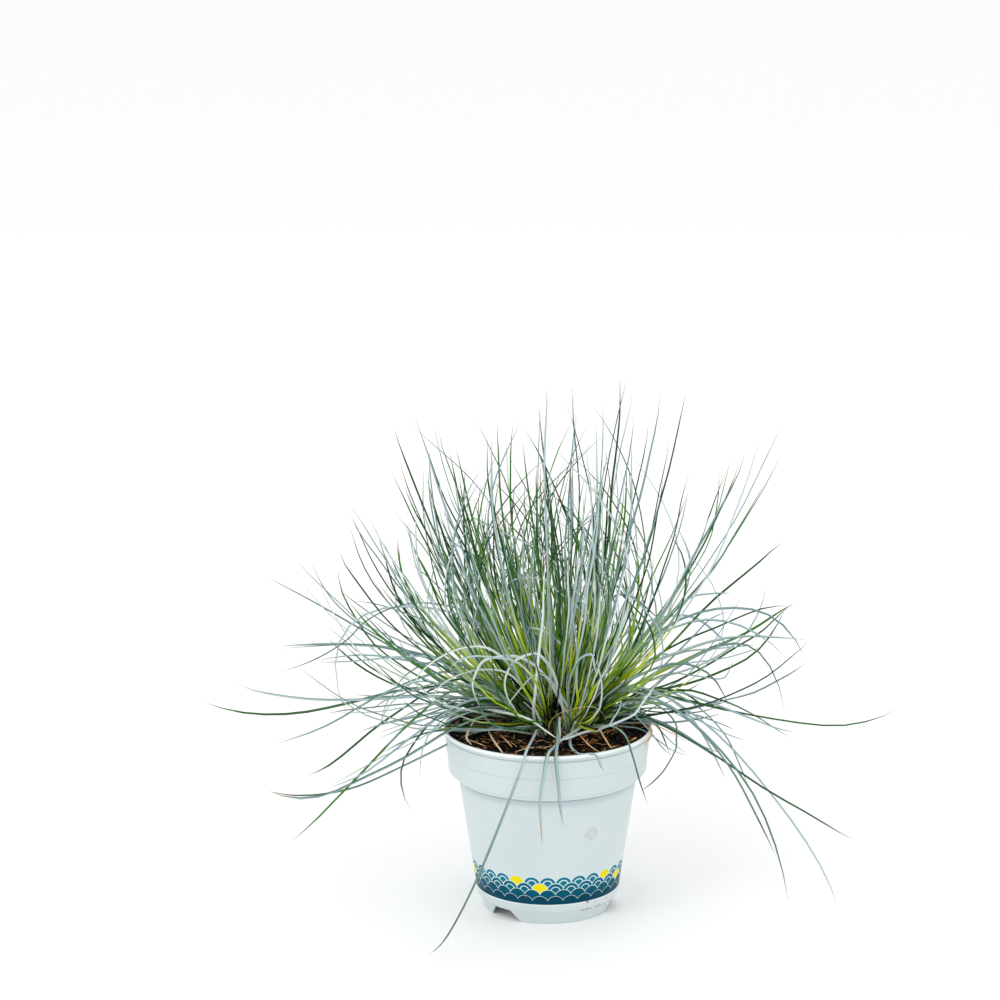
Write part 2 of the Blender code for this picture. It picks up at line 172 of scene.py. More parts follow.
# %% [markdown]
# A product table is a sheet of matt paper. It could be curved up behind the object, but laid flat and
# wide it serves views from every side. Paper scatters light evenly, so it is rough and hardly shines.

# %% Paper floor
FLOOR_HALF = 12.0

paper, _, shader = new_material("matt_white_paper")
wire(shader, {"Base Color": linear("#fcfcfc"), "Roughness": 0.9, "Specular IOR Level": 0.2})
shape = bmesh.new()
bmesh.ops.create_grid(shape, x_segments=2, y_segments=2, size=FLOOR_HALF)
floor = object_from(shape, "paper_floor", paper)
floor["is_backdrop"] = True
print("paper floor:", 2 * FLOOR_HALF, "m across")

# %% [markdown]
# Large soft boxes give faint shadows. One stands high at the front left, one at the right and one
# behind, and a bright room fills the rest, so the leaves stay crisp and the floor stays almost white.

# %% Soft boxes and room
ROOM_LIGHT = 1.0
LIT_POINT = Vector((0, 0, 0.15))
SOFT_BOXES = [
    # Name, place and size in metres, and power in watts
    ("key_box", (-1.0, -1.2, 1.9), 0.9, 7.0),
    ("side_box", (1.5, -0.6, 1.1), 1.2, 1.5),
    ("back_box", (0.2, 1.5, 1.5), 1.4, 3.0),
]

world = bpy.data.worlds.new("studio_room")
bpy.context.scene.world = world
world.use_nodes = True
wire(world.node_tree.nodes["Background"], {"Color": linear("#ffffff"), "Strength": ROOM_LIGHT})
bpy.context.scene.view_settings.view_transform = "Standard"
for name, place, size, power in SOFT_BOXES:
    light = bpy.data.lights.new(name, "AREA")
    light.size = size
    light.energy = power
    box = add_object(name, light)
    box.location = place
    box.rotation_euler = (LIT_POINT - Vector(place)).to_track_quat("-Z", "Y").to_euler()
print("soft boxes:", len(SOFT_BOXES))

# %% [markdown]
# The pot is one thin shell of polypropylene, injection moulded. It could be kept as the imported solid,
# but that one has flat facets. A turned profile at the same radii and heights, with a small round at
# every corner, gives the moulded edges their highlights.

# %% Pot sizes
POT_HEIGHT = 107.4 * MM
RIM_RADIUS = 60.0 * MM
WALL = 1.2 * MM
BAND_TOP_RADIUS = 59.3 * MM
BAND_BOTTOM = 82.6 * MM
BAND_BOTTOM_RADIUS = 57.2 * MM
BODY_TOP = 77.4 * MM
BODY_TOP_RADIUS = 51.5 * MM
BODY_BOTTOM = 13.0 * MM
BODY_BOTTOM_RADIUS = 41.6 * MM
FOOT_RADIUS = 37.0 * MM
FLOOR_UNDERSIDE = 6.2 * MM
FLOOR_TOP = 7.8 * MM
POT_CORNERS = [
    # Radius, height and rounding in millimetres: from the lip down the outside, then up the inside
    (58.8, 107.4, 0.5), (60.0, 107.4, 0.5), (60.0, 105.1, 0.4), (59.2, 104.6, 0.2), (59.3, 103.9, 0.3),
    (58.2, 93.3, 0.3), (57.95, 92.9, 0.3), (57.2, 82.6, 0.5), (56.6, 81.9, 0.2), (51.5, 77.4, 0.6),
    (41.6, 13.1, 0.2), (41.9, 12.6, 0.3), (40.9, 8.0, 0.5), (39.6, 7.4, 0.2), (39.4, 6.9, 0.2),
    (37.0, 0.0, 0.4), (35.8, 0.0, 0.4), (37.9, 6.2, 0.4), (0.0, 6.2, 0), (0.0, 7.8, 0), (39.2, 7.8, 0.8),
    (50.3, 77.9, 1.0), (56.0, 83.1, 1.2), (58.1, 104.0, 0.6),
]
print("corners of the pot's section:", len(POT_CORNERS))

# %% [markdown]
# A moulded edge is never sharp. Each corner of the section becomes a small curve that starts and ends
# the rounding's length away from it.

# %% Pot profile
def rounded(corners, steps=4):
    """A closed outline through (radius, height, rounding) corners given in millimetres."""
    outline = []
    count = len(corners)
    for i, (radius, height, rounding) in enumerate(corners):
        corner = Vector((radius, height))
        if not rounding:
            outline.append(corner * MM)
            continue
        before = Vector(corners[i - 1][:2])
        after = Vector(corners[(i + 1) % count][:2])
        start = corner + (before - corner).normalized() * rounding
        end = corner + (after - corner).normalized() * rounding
        for step in range(steps + 1):
            t = step / steps
            outline.append((start.lerp(corner, t)).lerp(corner.lerp(end, t), t) * MM)
    return outline


pot_outline = rounded(POT_CORNERS)
print("pot profile points:", len(pot_outline))

# %% [markdown]
# Turning the profile needs the Screw modifier: it sweeps the section round Z and merges the points on
# the axis.

# %% Turn the pot
POT_STEPS = 168

mesh = bpy.data.meshes.new("pot_shell")
count = len(pot_outline)
edges = [(i, (i + 1) % count) for i in range(count)]
mesh.from_pydata([(point.x, 0, point.y) for point in pot_outline], edges, [])
pot = add_object("pot_shell", mesh)
screw = pot.modifiers.new("turn", "SCREW")
screw.steps = POT_STEPS
screw.render_steps = POT_STEPS
screw.use_merge_vertices = True
screw.merge_threshold = 0.01 * MM
print("flat sides round the pot:", POT_STEPS)

# %% [markdown]
# Places round the pot and ways out of the crown are given by their azimuth, an angle seen from above.
# It is 0 at the front and grows to the right.

# %% Directions
def heading(azimuth):
    """The level direction that points out at an azimuth."""
    return Vector((math.sin(azimuth), -math.cos(azimuth), 0))


def sideways(azimuth):
    """The level direction in which the azimuth grows."""
    return Vector((math.cos(azimuth), math.sin(azimuth), 0))


def azimuth_of(vector):
    """The azimuth of a direction."""
    return math.atan2(vector.x, -vector.y)


print("azimuth of the right side:", round(math.degrees(azimuth_of(Vector((1, 0, 0))))), "degrees")

# %% [markdown]
# Water runs off through notches in the foot and holes in the floor. Both could be modelled into the
# section, but a block and a bar taken away with Booleans leave the turned wall as it is.

# %% Cutters for the notches and the drain holes
NOTCHES = 3
FIRST_NOTCH = math.radians(-42)
HALF_SPAN_LOW = math.radians(18)
HALF_SPAN_HIGH = math.radians(9)
NOTCH_FROM = 30 * MM
NOTCH_TO = 46 * MM
NOTCH_BOTTOM = -1 * MM
NOTCH_TOP = FLOOR_UNDERSIDE + 0.3 * MM
DRAIN_HOLES = 5
FIRST_DRAIN = math.radians(11)
DRAIN_CIRCLE = 26 * MM
DRAIN_RADIUS = 4 * MM
DRAIN_DEPTH = 8 * MM


def notch_cutter(azimuth):
    """A block through the foot at an azimuth, wider at the ground."""
    shape = bmesh.new()
    bmesh.ops.create_cube(shape, size=2)
    for vertex in shape.verts:
        low = vertex.co.z < 0
        half_width = FOOT_RADIUS * math.tan(HALF_SPAN_LOW if low else HALF_SPAN_HIGH)
        out = NOTCH_TO if vertex.co.y > 0 else NOTCH_FROM
        height = NOTCH_BOTTOM if low else NOTCH_TOP
        vertex.co = (math.copysign(half_width, vertex.co.x), -out, height)
    bmesh.ops.recalc_face_normals(shape, faces=shape.faces)
    turn = Matrix.Rotation(azimuth, 3, "Z")
    bmesh.ops.rotate(shape, cent=(0, 0, 0), matrix=turn, verts=shape.verts)
    return object_from(shape, "notch_cutter")


def drain_cutter(azimuth):
    """A round bar through the floor at an azimuth."""
    shape = bmesh.new()
    middle = heading(azimuth) * DRAIN_CIRCLE + Vector((0, 0, FLOOR_TOP))
    bmesh.ops.create_cone(
        shape, cap_ends=True, segments=40, radius1=DRAIN_RADIUS, radius2=DRAIN_RADIUS,
        depth=DRAIN_DEPTH, matrix=Matrix.Translation(middle),
    )
    return object_from(shape, "drain_cutter")


cutters = [notch_cutter(FIRST_NOTCH + math.tau * i / NOTCHES) for i in range(NOTCHES)]
cutters += [drain_cutter(FIRST_DRAIN + math.tau * i / DRAIN_HOLES) for i in range(DRAIN_HOLES)]
print("cutters:", len(cutters))

# %% [markdown]
# The modifiers are applied by reading the evaluated mesh back, and the cutters are removed. Faces that
# meet at a wide angle shade as one, and the edges of the cuts stay crisp.

# %% Cut the pot
CRISP_ANGLE = math.radians(38)

for cutter in cutters:
    cut = pot.modifiers.new("cut", "BOOLEAN")
    cut.operation = "DIFFERENCE"
    cut.object = cutter
graph = bpy.context.evaluated_depsgraph_get()
mesh = bpy.data.meshes.new_from_object(pot.evaluated_get(graph))
pot.modifiers.clear()
pot.data = mesh
mesh.shade_smooth()
mesh.set_sharp_from_angle(angle=CRISP_ANGLE)
for cutter in cutters:
    bpy.data.objects.remove(cutter)
print("pot faces:", len(mesh.polygons))

# %% [markdown]
# Polypropylene for nursery pots is tinted in the mass, and the mould leaves a satin skin on it, so its
# pale blue-grey is slightly cloudy and its highlights are soft. Everything on the wall is placed by the
# angle round the pot and the height in millimetres, so that it follows the taper.

# %% Pot plastic
POT_PLASTIC = "#d2dddf"
POT_PLASTIC_DEEP = "#cdd9db"
CLOUD_SIZE = 45.5 * MM
OUTER_WALL_FROM = 41.0 * MM

pot_look, node, shader = new_material("moulded_polypropylene")
place = node("TexCoord").outputs["Object"]
x, y, z = node("SeparateXYZ", [place]).outputs
angle = node("Math", [x, node("Math", [y, -1.0], operation="MULTIPLY")], operation="ARCTAN2")
height = node("Math", [z, 1 / MM], operation="MULTIPLY")
radius = node("VectorMath", [node("CombineXYZ", [x, y])], operation="LENGTH")
outside = node("Math", [radius, OUTER_WALL_FROM], operation="GREATER_THAN")
clouds = node("TexNoise", {"Vector": place, "Scale": 1 / CLOUD_SIZE, "Detail": 4.0})
plastic = node("ValToRGB", [clouds], stops=[(0.35, POT_PLASTIC_DEEP), (0.6, POT_PLASTIC)])
print("clouds in the plastic:", CLOUD_SIZE / MM, "mm")

# %% [markdown]
# The foot carries a printed band: rows of scallops in four teals with yellow discs, laid over each
# other like roof tiles. It could be an image on a UV map, but drawn from the angle and the height it is
# crisp at any size. Each row repeats one cell, and a lower row covers the one above it.

# %% Printed band of scallops
PRINT_TEALS = ["#004257", "#00546b", "#00667c", "#0a788e"]
PRINT_LINE = "#cfe3e6"
PRINT_YELLOW = "#f0dd17"
SCALLOPS = 30
# All lengths of the print are in millimetres on the wall
SCALLOP_RADIUS = 5.2
INNER_SCALLOP_RADIUS = 3.0
ROW_RISE = 4.1
BAND_RADIUS = 43.0
BAND_FOOT = BODY_BOTTOM / MM
FIRST_CENTRE = 0.4
LINE_WIDTH = 0.22
LINE_GROWTH = 0.16
SOFT_EDGE = 0.125
PLAIN_ROWS = 2
YELLOW_EVERY = 6.0
FIRST_YELLOW = 3.0
LOWER_EDGE = 1 / 12

spacing = math.tau * BAND_RADIUS / SCALLOPS
print_colour = plastic
inked = 0.0
for row, teal in reversed(list(enumerate(PRINT_TEALS))):
    # A hundred cells more keep the count above zero, and odd rows are set off by half a cell
    odd = row % 2
    turns = node("Math", [angle, SCALLOPS / math.tau, 100 + 0.5 * odd], operation="MULTIPLY_ADD")
    share = node("Math", [turns], operation="FRACT")
    across = node("Math", [share, spacing, -spacing / 2], operation="MULTIPLY_ADD")
    up = node("Math", [height, BAND_FOOT + FIRST_CENTRE + ROW_RISE * row], operation="SUBTRACT")
    distance = node("VectorMath", [node("CombineXYZ", [across, up])], operation="LENGTH")
    line = LINE_WIDTH + LINE_GROWTH * row
    rings = [(SCALLOP_RADIUS, PRINT_LINE), (SCALLOP_RADIUS - line, teal)]
    if row >= PLAIN_ROWS:
        rings += [(INNER_SCALLOP_RADIUS, PRINT_LINE), (INNER_SCALLOP_RADIUS - line, teal)]
    discs = [node("MapRange", [distance, reach, reach - SOFT_EDGE]) for reach, _ in rings]
    for disc, (_, ink) in zip(discs, rings):
        print_colour = node("Mix", [disc, print_colour, linear(ink)], data_type="RGBA")
    if row >= PLAIN_ROWS:
        cell = node("Math", [turns], operation="FLOOR")
        cell = node("Math", [cell, YELLOW_EVERY], operation="FLOORED_MODULO")
        sunny = node("Math", [cell, FIRST_YELLOW - odd, 0.1], operation="COMPARE")
        yellow = node("Math", [sunny, discs[1]], operation="MULTIPLY")
        print_colour = node("Mix", [yellow, print_colour, linear(PRINT_YELLOW)], data_type="RGBA")
    inked = node("Math", [discs[0], inked], operation="MAXIMUM")
above_foot = node("MapRange", [height, BAND_FOOT, BAND_FOOT + LOWER_EDGE])
printed = node("Math", [above_foot, outside], operation="MULTIPLY")
colour = node("Mix", [printed, plastic, print_colour], data_type="RGBA")
print("scallop spacing on the print:", round(spacing, 2), "mm")

# %% [markdown]
# Moulded steps catch a thin highlight or a thin line of shade, finer than the mesh can show in this
# light, so each is painted at its height and fades to both sides. The pale ones at the lip, under the
# band's edge and just below the print are painted highlights; the dark ones are painted shade under
# the lip, at the seam, under the band and in the crease of the foot.

# %% Painted highlights and shade at the steps of the wall
PAINTED_STEP_HIGHLIGHTS_AND_SHADE = [
    # Height and half width in millimetres, colour and strength of each painted highlight or shade
    (106.6, 1.3, "#fbffff", 0.95), (103.6, 0.7, "#87989d", 0.75), (93.1, 0.35, "#a9b8bc", 0.65),
    (79.9, 0.8, "#e8f1f1", 0.6), (78.6, 0.7, "#6f858b", 0.85), (77.6, 1.0, "#94a7ac", 0.7),
    (76.0, 2.4, "#b4c3c6", 0.6), (12.7, 0.4, "#f4f9f9", 0.7), (7.5, 0.5, "#a5b2b3", 0.7),
]

# Each painted highlight or painted shade is mixed in at its height, on the outside of the wall only
for level, reach, shade, strength in PAINTED_STEP_HIGHLIGHTS_AND_SHADE:
    off = node("Math", [node("Math", [height, level], operation="SUBTRACT")], operation="ABSOLUTE")
    near = node("MapRange", [off, reach, 0, 0, strength])
    shown = node("Math", [near, outside], operation="MULTIPLY")
    colour = node("Mix", [shown, colour, linear(shade)], data_type="RGBA")
print("painted lines:", len(PAINTED_STEP_HIGHLIGHTS_AND_SHADE))

# %% [markdown]
# Grains of soil of one or two millimetres stick to the wall and gather in the crease of the foot, at
# the right of the front. A noise of that grain size gives the crowded ones, and a few loose ones are
# placed one by one.

# %% Soil on the wall
POT_DIRT = "#6f5138"
GRAIN_SIZE = 1.92 * MM
WALL_RADIUS = 46.0
# Middle and half span of the dusty side in radians, and of the dusty foot and its crease in millimetres
DUSTY_ANGLES = (0.95, 0.45)
DUSTY_HEIGHTS = (9.0, 5.0)
CREASE_HEIGHTS = (7.2, 0.35)
CREASE_EXTRA = 0.2
GRAIN_LEVELS = (0.64, 0.7025)
SPECK_EDGE = 0.25
SPECK_STRENGTH = 0.85
SPECKS = [
    # Angle in radians, height and radius in millimetres of each grain of soil that sticks to the wall
    (-0.02, 78.0, 0.45), (-0.55, 75.4, 0.4), (0.43, 3.7, 0.5), (1.03, 5.4, 0.5), (-0.31, 17.2, 0.7),
    (-0.50, 92.0, 0.3), (0.05, 95.0, 0.3),
]


def away_from(angle_there, height_there):
    """Distance in millimetres on the wall from a place on it."""
    aside = node("Math", [angle, WALL_RADIUS, -WALL_RADIUS * angle_there], operation="MULTIPLY_ADD")
    up = node("Math", [height, height_there], operation="SUBTRACT")
    return node("VectorMath", [node("CombineXYZ", [aside, up])], operation="LENGTH")


at_side = node("Math", [angle, *DUSTY_ANGLES], operation="COMPARE")
at_foot = node("Math", [height, *DUSTY_HEIGHTS], operation="COMPARE")
in_dust = node("Math", [at_side, at_foot], operation="MULTIPLY")
in_crease = node("Math", [height, *CREASE_HEIGHTS], operation="COMPARE")
grains = node("TexNoise", {"Vector": place, "Scale": 1 / GRAIN_SIZE, "Detail": 2.0})
grains = node("Math", [in_crease, CREASE_EXTRA, grains], operation="MULTIPLY_ADD")
dirt = node("Math", [node("MapRange", [grains, *GRAIN_LEVELS]), in_dust], operation="MULTIPLY")
colour = node("Mix", [dirt, colour, linear(POT_DIRT)], data_type="RGBA")
for angle_there, height_there, reach in SPECKS:
    away = away_from(angle_there, height_there)
    speck = node("MapRange", [away, reach, reach - SPECK_EDGE, 0, SPECK_STRENGTH])
    speck = node("Math", [speck, outside], operation="MULTIPLY")
    colour = node("Mix", [speck, colour, linear(POT_DIRT)], data_type="RGBA")
print("loose grains on the wall:", len(SPECKS))

# %% [markdown]
# A splash of muddy water has dried on the wall. Its dirt stays at the edge of the drop, so it is a thin
# ring, made ragged by adding the grain noise to the distance from its middle.

# %% Dried splash
SPLASH_PLACE = (0.54, 55.5)
SPLASH_COLOUR = "#b3a68f"
# In millimetres: how far the noise pulls the ring, its radius and its half width
RAGGED = 7.0
RING_RADIUS = 6.1
RING_REACH = 1.7
RING_STRENGTH = 0.408

ragged = node("Math", [grains, RAGGED, away_from(*SPLASH_PLACE)], operation="MULTIPLY_ADD")
off = node("Math", [node("Math", [ragged, RING_RADIUS], operation="SUBTRACT")], operation="ABSOLUTE")
ring = node("MapRange", [off, RING_REACH, 0, 0, RING_STRENGTH])
ring = node("Math", [ring, outside], operation="MULTIPLY")
colour = node("Mix", [ring, colour, linear(SPLASH_COLOUR)], data_type="RGBA")
print("splash", SPLASH_PLACE[1], "mm up the wall")

# %% [markdown]
# Polypropylene has an index of refraction of 1.49. Printing ink shines less than the moulded skin. The
# skin's real grain, a tenth of a millimetre, is too fine to show, so it is drawn ten times as coarse.

# %% Finish of the pot
PLASTIC_IOR = 1.49
SATIN = 0.32
SATIN_VARIES = 0.12
PLASTIC_SHINE = 0.35
INK_SHINE = 0.08
SKIN_GRAIN = 1.11 * MM
SKIN_RELIEF = 0.2 * MM

satin = node("Math", [clouds, SATIN_VARIES, SATIN], operation="MULTIPLY_ADD")
ink = node("Math", [printed, inked], operation="MULTIPLY")
shine = node("Math", [ink, INK_SHINE - PLASTIC_SHINE, PLASTIC_SHINE], operation="MULTIPLY_ADD")
skin = node("TexNoise", {"Vector": place, "Scale": 1 / SKIN_GRAIN, "Detail": 2.0})
bump = node("Bump", {"Height": skin, "Strength": 0.05, "Distance": SKIN_RELIEF})
wire(shader, {"Base Color": colour, "Roughness": satin, "IOR": PLASTIC_IOR})
wire(shader, {"Specular IOR Level": shine, "Normal": bump})
pot.data.materials.append(pot_look)
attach(pot, "root")
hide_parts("pot")
print("grain of the skin as drawn:", round(SKIN_GRAIN / MM, 2), "mm")

# %% [markdown]
# Potting soil is peat with wood fibre: dark, crumbly and never level. Its surface could be a bump
# alone, but the rim shows its edge, so the lumps are real, and one function gives its height anywhere.

# %% Height of the soil
SOIL_TOP = 104.2 * MM
SOIL_SPAN = 58 * MM
SUNK = 0.4 * MM
HOLLOW = 0.6 * MM
HEAPED = 1.8 * MM
SOIL_LUMPS = [
    # Rise and size in millimetres of clods, lumps and crumbs, and where their noise starts
    (1.5, 11, (0, 0, 0)), (1.1, 4.2, (7, 3, 1)), (0.55, 1.7, (2, 9, 5)),
]


def soil_height(x, y):
    """Height of the soil at a place: nearly level, heaped up at the wall, with clods and crumbs."""
    out = math.hypot(x, y) / SOIL_SPAN
    height = SOIL_TOP - SUNK - HOLLOW * out**2 + HEAPED * out**8
    for rise, size, start in SOIL_LUMPS:
        height += rise * MM * noise.noise(Vector((x, y, 0)) / (size * MM) + Vector(start))
    return height


print("soil in the middle at", round(soil_height(0, 0) / MM, 1), "mm")

# %% [markdown]
# The soil is one body. A disc of rings is pushed up and down by the noise, and its side follows the
# inside of the pot down to the floor, with a small gap to the wall.

# %% Soil body
GAP = 0.3 * MM
SOIL_INSET = WALL + GAP + 0.1 * MM
SOIL_BOTTOM = FLOOR_TOP + GAP
SOIL_RINGS = 62
SOIL_SPOKES = 200

soil_radius = BAND_TOP_RADIUS - SOIL_INSET - 0.25 * MM
soil_side = [
    (BAND_BOTTOM_RADIUS - SOIL_INSET, BAND_BOTTOM + 2 * GAP),
    (BODY_TOP_RADIUS - SOIL_INSET, BODY_TOP + 2 * GAP),
    (BODY_BOTTOM_RADIUS - WALL - SOIL_INSET, SOIL_BOTTOM),
]
shape = bmesh.new()


def soil_ring(radius, level=None):
    """A ring of points round the axis, on the soil's surface or at a level."""
    ring = []
    for i in range(SOIL_SPOKES):
        point = heading(math.tau * i / SOIL_SPOKES) * radius
        point.z = soil_height(point.x, point.y) if level is None else level
        ring.append(shape.verts.new(point))
    return ring


centre = shape.verts.new((0, 0, soil_height(0, 0)))
rings = [soil_ring(soil_radius * (i + 1) / SOIL_RINGS) for i in range(SOIL_RINGS)]
rings += [soil_ring(radius, level) for radius, level in soil_side]
bottom = shape.verts.new((0, 0, SOIL_BOTTOM))
for i in range(SOIL_SPOKES):
    j = (i + 1) % SOIL_SPOKES
    shape.faces.new((centre, rings[0][i], rings[0][j]))
    for inner, outer in zip(rings, rings[1:]):
        shape.faces.new((inner[i], outer[i], outer[j], inner[j]))
    shape.faces.new((rings[-1][i], bottom, rings[-1][j]))
bmesh.ops.recalc_face_normals(shape, faces=shape.faces)
soil = object_from(shape, "soil_bed")
soil.data.shade_smooth()
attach(soil, "root")
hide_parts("soil")
print("soil faces:", len(soil.data.polygons))

# %% [markdown]
# Moist peat is dark brown, and its crumbs, about 2 mm wide, are warm brown. Its colour follows the same
# noise as the bump, so the hollows get painted shade, almost black. One cell of the noise holds a crumb
# and a hollow. The surface is fully matt, apart from a faint damp sheen.

# %% Soil material
CRUMB_SIZE = 2.0 * MM
CRUMB_RELIEF = 1.2 * MM
PEAT_AND_PAINTED_HOLLOW_SHADE = [(0.40, "#010100"), (0.54, "#060302"), (0.66, "#190d05"), (0.78, "#5a3212")]

soil_look, node, shader = new_material("moist_peat")
place = node("TexCoord").outputs["Object"]
crumbs = node("TexNoise", {"Vector": place, "Scale": 0.5 / CRUMB_SIZE, "Detail": 6.0, "Roughness": 0.7})
# The darkest colours fall in the hollows of the bump: painted shade
colour = node("ValToRGB", [crumbs], stops=PEAT_AND_PAINTED_HOLLOW_SHADE)
bump = node("Bump", {"Height": crumbs, "Strength": 0.9, "Distance": CRUMB_RELIEF})
wire(shader, {"Base Color": colour, "Roughness": 0.95, "Specular IOR Level": 0.15, "Normal": bump})
soil.data.materials.append(soil_look)
print("crumbs:", CRUMB_SIZE / MM, "mm")

# %% [markdown]
# Every small loose thing is a short strip: bark chips and wood fibres on the soil, dead leaves and the
# living leaves too. One builder makes them all. It takes the points along the strip, a section at each
# point, and colours that ride on the points, and adds the result to a growing mesh.

# %% Strip builder
FOLD_ANGLE = math.radians(50)


class StripMesh:
    """Gathers many small strips in one mesh, with four numbers on each point for its material to read."""

    def __init__(self):
        self.points = []
        self.faces = []
        self.traits = []

    def add(self, rings, traits, tip=None, tip_trait=None):
        """Join rings of points into a closed strip, ending in a tip or a flat cap."""
        start = len(self.points)
        sides = len(rings[0])
        for ring, ring_traits in zip(rings, traits):
            self.points += ring
            self.traits += ring_traits
        for level in range(len(rings) - 1):
            low = start + sides * level
            for i in range(sides):
                j = (i + 1) % sides
                self.faces.append((low + i, low + j, low + sides + j, low + sides + i))
        self.faces.append(tuple(start + i for i in reversed(range(sides))))
        last = start + sides * (len(rings) - 1)
        if tip is None:
            self.faces.append(tuple(last + i for i in range(sides)))
            return
        self.points.append(tip)
        self.traits.append(tip_trait)
        end = len(self.points) - 1
        self.faces += [(last + i, last + (i + 1) % sides, end) for i in range(sides)]

    def build(self, name, look):
        mesh = bpy.data.meshes.new(name)
        mesh.from_pydata(self.points, [], self.faces)
        layer = mesh.color_attributes.new("traits", "FLOAT_COLOR", "POINT")
        layer.data.foreach_set("color", [number for trait in self.traits for number in trait])
        mesh.shade_smooth()
        mesh.set_sharp_from_angle(angle=FOLD_ANGLE)
        return add_object(name, mesh, look)


example = StripMesh()
triangles = [[Vector((0, 0, z)), Vector((1, 0, z)), Vector((0, 1, z))] for z in (0, 1)]
example.add(triangles, [[(0, 0, 0, 0)] * 3] * 2)
print("faces of a strip with two rings of three points:", len(example.faces))

# %% [markdown]
# Bark chips are rough slivers with five sides, and fibres are thin bent threads. They could be copies
# of a few models, but a sliver made from random numbers of its own never repeats.

# %% A sliver or a fibre
def litter_strip(mesh, start, azimuth, pitch, sizes, bend, tone, rng, steps, sides):
    """Add a bent strip with a rough section, of the given length, width and thickness."""
    length, width, thickness = sizes
    rings = []
    traits = []
    place = start.copy()
    for step in range(steps + 1):
        t = step / steps
        turn = azimuth + bend * (t - 0.5)
        along = heading(turn) * math.cos(pitch) + Vector((0, 0, math.sin(pitch)))
        side = sideways(turn)
        up = side.cross(along)
        taper = (1 - abs(2 * t - 1) ** 3) * 0.75 + 0.25
        ring = []
        for i in range(sides):
            around = math.tau * i / sides
            half = taper * rng.uniform(0.8, 1.2) / 2
            across = side * (math.cos(around) * width * half)
            ring.append(place + across - up * (math.sin(around) * thickness * half))
        rings.append(ring)
        traits.append([(t, tone, rng.random(), 0)] * sides)
        place = place + along * length / steps
    mesh.add(rings, traits)


example = StripMesh()
litter_strip(example, Vector(), 0, 0, (5, 1, 1), 0, 0, random.Random(1), steps=3, sides=5)
print("points on one chip:", len(example.points))

# %% [markdown]
# The slivers lie on the soil at every angle. They are strewn evenly over its disc by a seeded random
# generator, so every run gives the same soil, and one that would stick through the wall is left out.

# %% Strew chips and fibres
CHIPS = 760
FIBRES = 330
STREWN_RADIUS = 56.0 * MM
CHIP_LIMIT = 56.6 * MM
FIBRE_LIMIT = 55.0 * MM
# Shortest and longest, narrowest and widest, thinnest and thickest, in millimetres
CHIP_SIZES = (1.4, 5.5), (0.6, 1.9), (0.4, 1.1)
FIBRE_LENGTHS = (3.0, 9.0)
FIBRE_WIDTHS = (0.25, 0.5)
FIBRE_THICKNESS = 0.3 * MM
# Mean tilt and its spread, and the spread of the bend, in radians
CHIP_TILTS = (0, 0.30)
FIBRE_TILTS = (0.05, 0.16)
CHIP_BEND = 0.3
FIBRE_BEND = 1.3
CHIP_LIFT = 0.2 * MM
FIBRE_LIFTS = (0.3, 1.0)
# The higher this power, the more chips are dark
DARKNESS = 2.6


def strewn_place(rng):
    """A random place, spread evenly over the soil."""
    radius = STREWN_RADIUS * math.sqrt(rng.uniform(0.0, 1.0))
    azimuth = rng.uniform(0, math.tau)
    return heading(azimuth) * radius


def stays_in_pot(points, reach):
    return all(math.hypot(point.x, point.y) < reach for point in points)


litter_rng = random.Random(5)
litter = StripMesh()
for _ in range(CHIPS):
    place = strewn_place(litter_rng)
    sizes = [litter_rng.uniform(*limits) * MM for limits in CHIP_SIZES]
    pitch = litter_rng.gauss(*CHIP_TILTS)
    place.z = soil_height(place.x, place.y) + CHIP_LIFT + abs(math.sin(pitch)) * sizes[0] * 0.3
    azimuth = litter_rng.uniform(0, math.tau)
    if not stays_in_pot([place + heading(azimuth) * sizes[0]], CHIP_LIMIT):
        continue
    bend = litter_rng.gauss(0, CHIP_BEND)
    tone = litter_rng.random() ** DARKNESS
    litter_strip(litter, place, azimuth, pitch, sizes, bend, tone, litter_rng, steps=3, sides=5)
for _ in range(FIBRES):
    place = strewn_place(litter_rng)
    length = litter_rng.uniform(*FIBRE_LENGTHS) * MM
    pitch = litter_rng.gauss(*FIBRE_TILTS)
    place.z = soil_height(place.x, place.y) + litter_rng.uniform(*FIBRE_LIFTS) * MM
    azimuth = litter_rng.uniform(0, math.tau)
    if not stays_in_pot([place + heading(azimuth) * length], FIBRE_LIMIT):
        continue
    sizes = length, litter_rng.uniform(*FIBRE_WIDTHS) * MM, FIBRE_THICKNESS
    bend = litter_rng.gauss(0, FIBRE_BEND)
    tone = 0.35 + 0.65 * litter_rng.random() ** 2
    litter_strip(litter, place, azimuth, pitch, sizes, bend, tone, litter_rng, steps=6, sides=4)
print("points on chips and fibres:", len(litter.points))

# %% [markdown]
# Bark and wood fibre are dead, dry and matt. Most chips are as dark as the peat, and a few split ones
# show the orange-brown of fresh wood. The tone that rides on each chip picks its colour.

# %% Bark material
BARK_COLOURS = [(0.0, "#080402"), (0.3, "#1c0e06"), (0.5, "#5a3013"), (0.72, "#b0651f"), (1.0, "#f0b868")]

bark, node, shader = new_material("bark_and_wood_fibre")
traits = node("Attribute", attribute_name="traits")
tone = node("SeparateColor", [traits]).outputs["Green"]
wire(shader, {"Base Color": node("ValToRGB", [tone], stops=BARK_COLOURS), "Roughness": 0.8})
litter_piece = litter.build("bark_chips", bark)
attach(litter_piece, "root")
print("chip and fibre faces:", len(litter_piece.data.polygons))

# %% [markdown]
# A fescue clump is many shoots. Each holds a bundle of hair-fine leaves that fan out from a plug of
# sheaths. The frame's tufts give the main leaves, so the same rule draws them here. The first of them
# are the long leaves that give the clump its outline.

